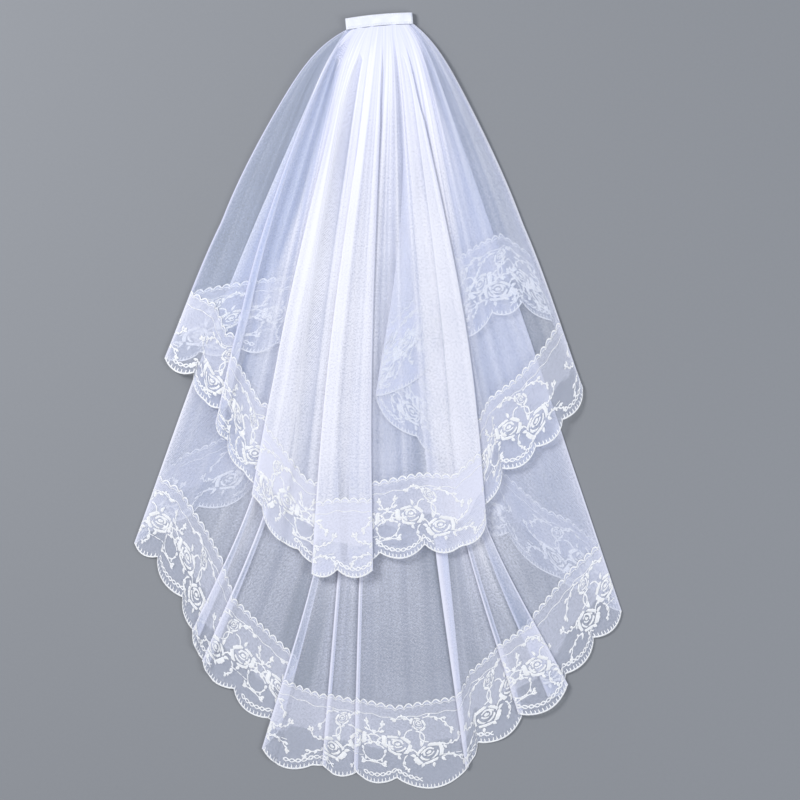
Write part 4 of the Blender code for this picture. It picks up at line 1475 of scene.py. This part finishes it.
def satin_material():
    tree = Tree("satin_weave")
    settings = {"wave_type": "BANDS", "bands_direction": "Y"}
    position = tree.position()
    weave = tree.node("ShaderNodeTexWave", 1, settings, Vector=position, Scale=950.0, Distortion=0.6)
    # The noise named folds paints the satin lighter in some patches and darker in others: painted sheen
    # and shade of folds. Where it paints the satin lighter it also makes it glossier.
    folds = tree.noise(position, 60.0, 3.0)
    return tree.finish(
        Base_Color=tree.mix(tree.ramp(folds, 0.3, 0.7), (0.76, 0.79, 0.92, 1), (0.85, 0.875, 0.96, 1)),
        Roughness=tree.ramp(folds, 0.3, 0.7, 0.42, 0.3),
        Normal=tree.bump(weave, 0.35, 0.0003),
        Sheen_Weight=0.3,
        Anisotropic=0.4,
    )


def floor_material():
    tree = Tree("floor_paper")
    position = tree.position()
    fine = tree.noise(position, 300.0, 4.0)
    shade = tree.plus(tree.times(fine, 0.06), tree.times(tree.noise(position, 1.5), 0.05))
    share = tree.math("MULTIPLY", shade, 9.0, clamp=True)
    colour = tree.mix(share, (*FLOOR_TONE * 0.95, 1), (*FLOOR_TONE * 1.03, 1))
    return tree.finish(Base_Color=colour, Roughness=0.85, Normal=tree.bump(fine, 0.1, 0.0005))


# The header band: a length of satin folded over the gathered edges and stitched down.


def band_grid():
    """The band's closed outline along its length, with its stitched grooves and soft puckers."""
    half, high = BAND_LENGTH / 2, BAND_THICKNESS / 2
    run = np.linspace(-half, half, BAND_RUNS)[:, None]
    angle = 2 * math.pi * np.arange(BAND_TURNS + 1) / BAND_TURNS
    cos, sin = np.cos(angle), np.sin(angle)
    wide, tall = (np.sign(part) * np.abs(part) ** BAND_SQUARENESS for part in (cos, sin))
    taper = BAND_TAPER * smooth(np.abs(run), half - 2.4, half + 0.6)
    across, lift = BAND_WIDTH / 2 * wide, high * tall * (1 - taper)
    dip = GROOVE * np.exp(-(((np.abs(across) - BAND_STITCH_LINE) / GROOVE) ** 2))
    pucker = PUCKER * np.sin(run * 1.9 + 1.4 * np.sin(run * 0.53)) * np.sin(run * 0.71)
    dip = dip + pucker * smooth(np.abs(across), 2.0, 6.0) + SWELL * np.sin(run * 0.21 + 0.8)
    lift = np.where(sin > 0, np.minimum(lift - dip, high), lift)
    return np.dstack([band_plan(run, across * (1 - 0.02 * taper)), high + lift])


def band_object(material_):
    made = grid_object("header_satin", band_grid(), material_)
    bm = bmesh.new()
    bm.from_mesh(made.data)
    bmesh.ops.remove_doubles(bm, verts=bm.verts, dist=1e-6)
    bmesh.ops.holes_fill(bm, edges=[edge for edge in bm.edges if edge.is_boundary], sides=0)
    bmesh.ops.recalc_face_normals(bm, faces=bm.faces)
    bm.to_mesh(made.data)
    bm.free()
    return made


def band_stitches(material_):
    """Two rows of running stitches along the band."""
    patches = []
    for across in (-BAND_STITCH_LINE, BAND_STITCH_LINE):
        for start in np.arange(-BAND_LENGTH / 2 + 2.5, BAND_LENGTH / 2 - 4.0, BAND_STITCH_PITCH):
            patch = ribbon(bow((start, across), (start + BAND_STITCH, across), 0.02, 5), 0.55, 0.3)
            arc = 0.22 * np.sin(math.pi * (patch[..., 0] - start) / BAND_STITCH)
            patch[..., 2] += BAND_THICKNESS - STITCH_SUNK + arc
            patches.append(patch)
    points, quads, _ = join_patches(patches)
    points[:, :2] = band_plan(points[:, 0], points[:, 1])
    return mesh_object("header_stitches", points, quads, material_, stitch=np.zeros(len(points)))


# The scene.


def add_light(name, place, size, watts, colour):
    """A round soft light aimed at the middle of the floor."""
    data = bpy.data.lights.new(name, "AREA")
    data.shape, data.size, data.energy, data.color = "DISK", size, watts, colour
    aim = (-Vector(place)).to_track_quat("-Z", "Y")
    add_object(name, data, place).rotation_euler = aim.to_euler()


def studio():
    scene = bpy.context.scene
    floor = bpy.data.meshes.new("floor")
    half = FLOOR_HALF
    corners = [(-half, -half), (half, -half), (half, half), (-half, half)]
    floor.from_pydata([(*corner, FLOOR_LEVEL) for corner in corners], [], [(0, 1, 2, 3)])
    floor.materials.append(floor_material())
    add_object("floor", floor)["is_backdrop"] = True
    for row in LIGHTS:
        add_light(*row)
    world = bpy.data.worlds.new("studio")
    world.use_nodes = True
    background = world.node_tree.nodes["Background"]
    background.inputs["Color"].default_value = WORLD_COLOUR
    background.inputs["Strength"].default_value = WORLD_STRENGTH
    scene.world = world
    scene.view_settings.view_transform = "Standard"
    scene.cycles.transparent_max_bounces = LAYERS_SEEN
    camera = bpy.data.cameras.new("camera")
    camera.sensor_width = SENSOR
    camera.lens = SENSOR * CAMERA_HEIGHT / VIEW_WIDTH
    camera.clip_end = 20.0
    scene.camera = add_object("camera", camera, (*VIEW_MIDDLE, CAMERA_HEIGHT))


def ride_and_replace(piece, node):
    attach(piece, "root")
    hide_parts(node)


def dress_tulle(name, tier, facts, material_):
    cover, cloth, streak = gathered_cover(facts, tier)
    bright = 1 + BRIGHT_FOLDS * smooth(run_along(facts["grid"], 1), *PLEATS_THIN)
    looks = {"cover": cover, "crease": facts["crease"][:, None] * bright}
    # The painted light and shade of the gathers goes on the net as a point attribute.
    looks |= {"streak": streak, "cloth": cloth}
    net = grid_object(name + "_net", facts["grid"], material_, **looks)
    ride_and_replace(net, name + "_tulle")
    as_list(tier["lies_on"])


def dress_lace(name, tier, facts, net_material, thread):
    """The lace of a tier: its net, and its embroidery, which is closer on a crumpled flap."""
    grid, header = facts["grid"], facts["header"]
    run = facts["across"][:, grid.shape[1] // 2]
    width = LACE_FLAT + facts["scallop"]
    v = -LACE_RISE + LACE_ROWS * (width + LACE_RISE)[:, None]
    grid = grid + facts["normal"] * (SEAM_LIFT * (1 - smooth(v, 0, 3)))[..., None]
    facts |= {"grid": grid, "across": run_along(grid, 0)}
    drawn = bunches(header, v + PLEATS_THIN[1], tier["bunches"]) ** LACE_GATHER
    looks = {
        "cover": tilted(facts) * drawn + fold_glow(facts) / LACE_NET_COVER,
        "crease": facts["crease"][:, None] + 0 * v,
        "strip": np.stack([run[:, None] + 0 * v, v, 0 * v], axis=-1),
    }
    ground = grid_object(name + "_lace_net", grid, net_material, **looks)
    ride_and_replace(ground, name + "_lace")

    def width_at(at):
        return np.interp(at, run, width)

    crumpled = run[np.flatnonzero(header == header.max())[-1]] if name == "upper_tier" else run[-1]
    flat, quads, stitch = join_patches(embroidery(run[-1], width_at, tier["motifs"], crumpled))
    points = lay_on_lace(flat, facts, run, width)
    flowers = mesh_object(name + "_embroidery", points, quads, thread, stitch=stitch)
    ride_and_replace(flowers, name + "_lace")
    flat = (round(run[-1] * MM, 3), LACE_CUT)
    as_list(tier["lies_on"])


def main():
    studio()
    tulle, lace_net, thread = tulle_material(), lace_net_material(), thread_material()
    bases = (on_the_ground, upper_base(table_rows(LOWER_TIER)))
    for (name, tier), base in zip(TIERS.items(), bases):
        rows = table_rows(tier["table"])
        dress_tulle(name, tier, sheet_facts(rows, tulle_shares, tier["flare"], base), tulle)
        dress_lace(name, tier, sheet_facts(rows, lace_shares, tier["flare"], base), lace_net, thread)
    ride_and_replace(band_object(satin_material()), "header_band")
    ride_and_replace(band_stitches(thread), "header_band")


main()
boxes = {"cad": cad_box, "visual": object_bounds()}
{name: [[float(x) for x in corner] for corner in box] for name, box in boxes.items()}
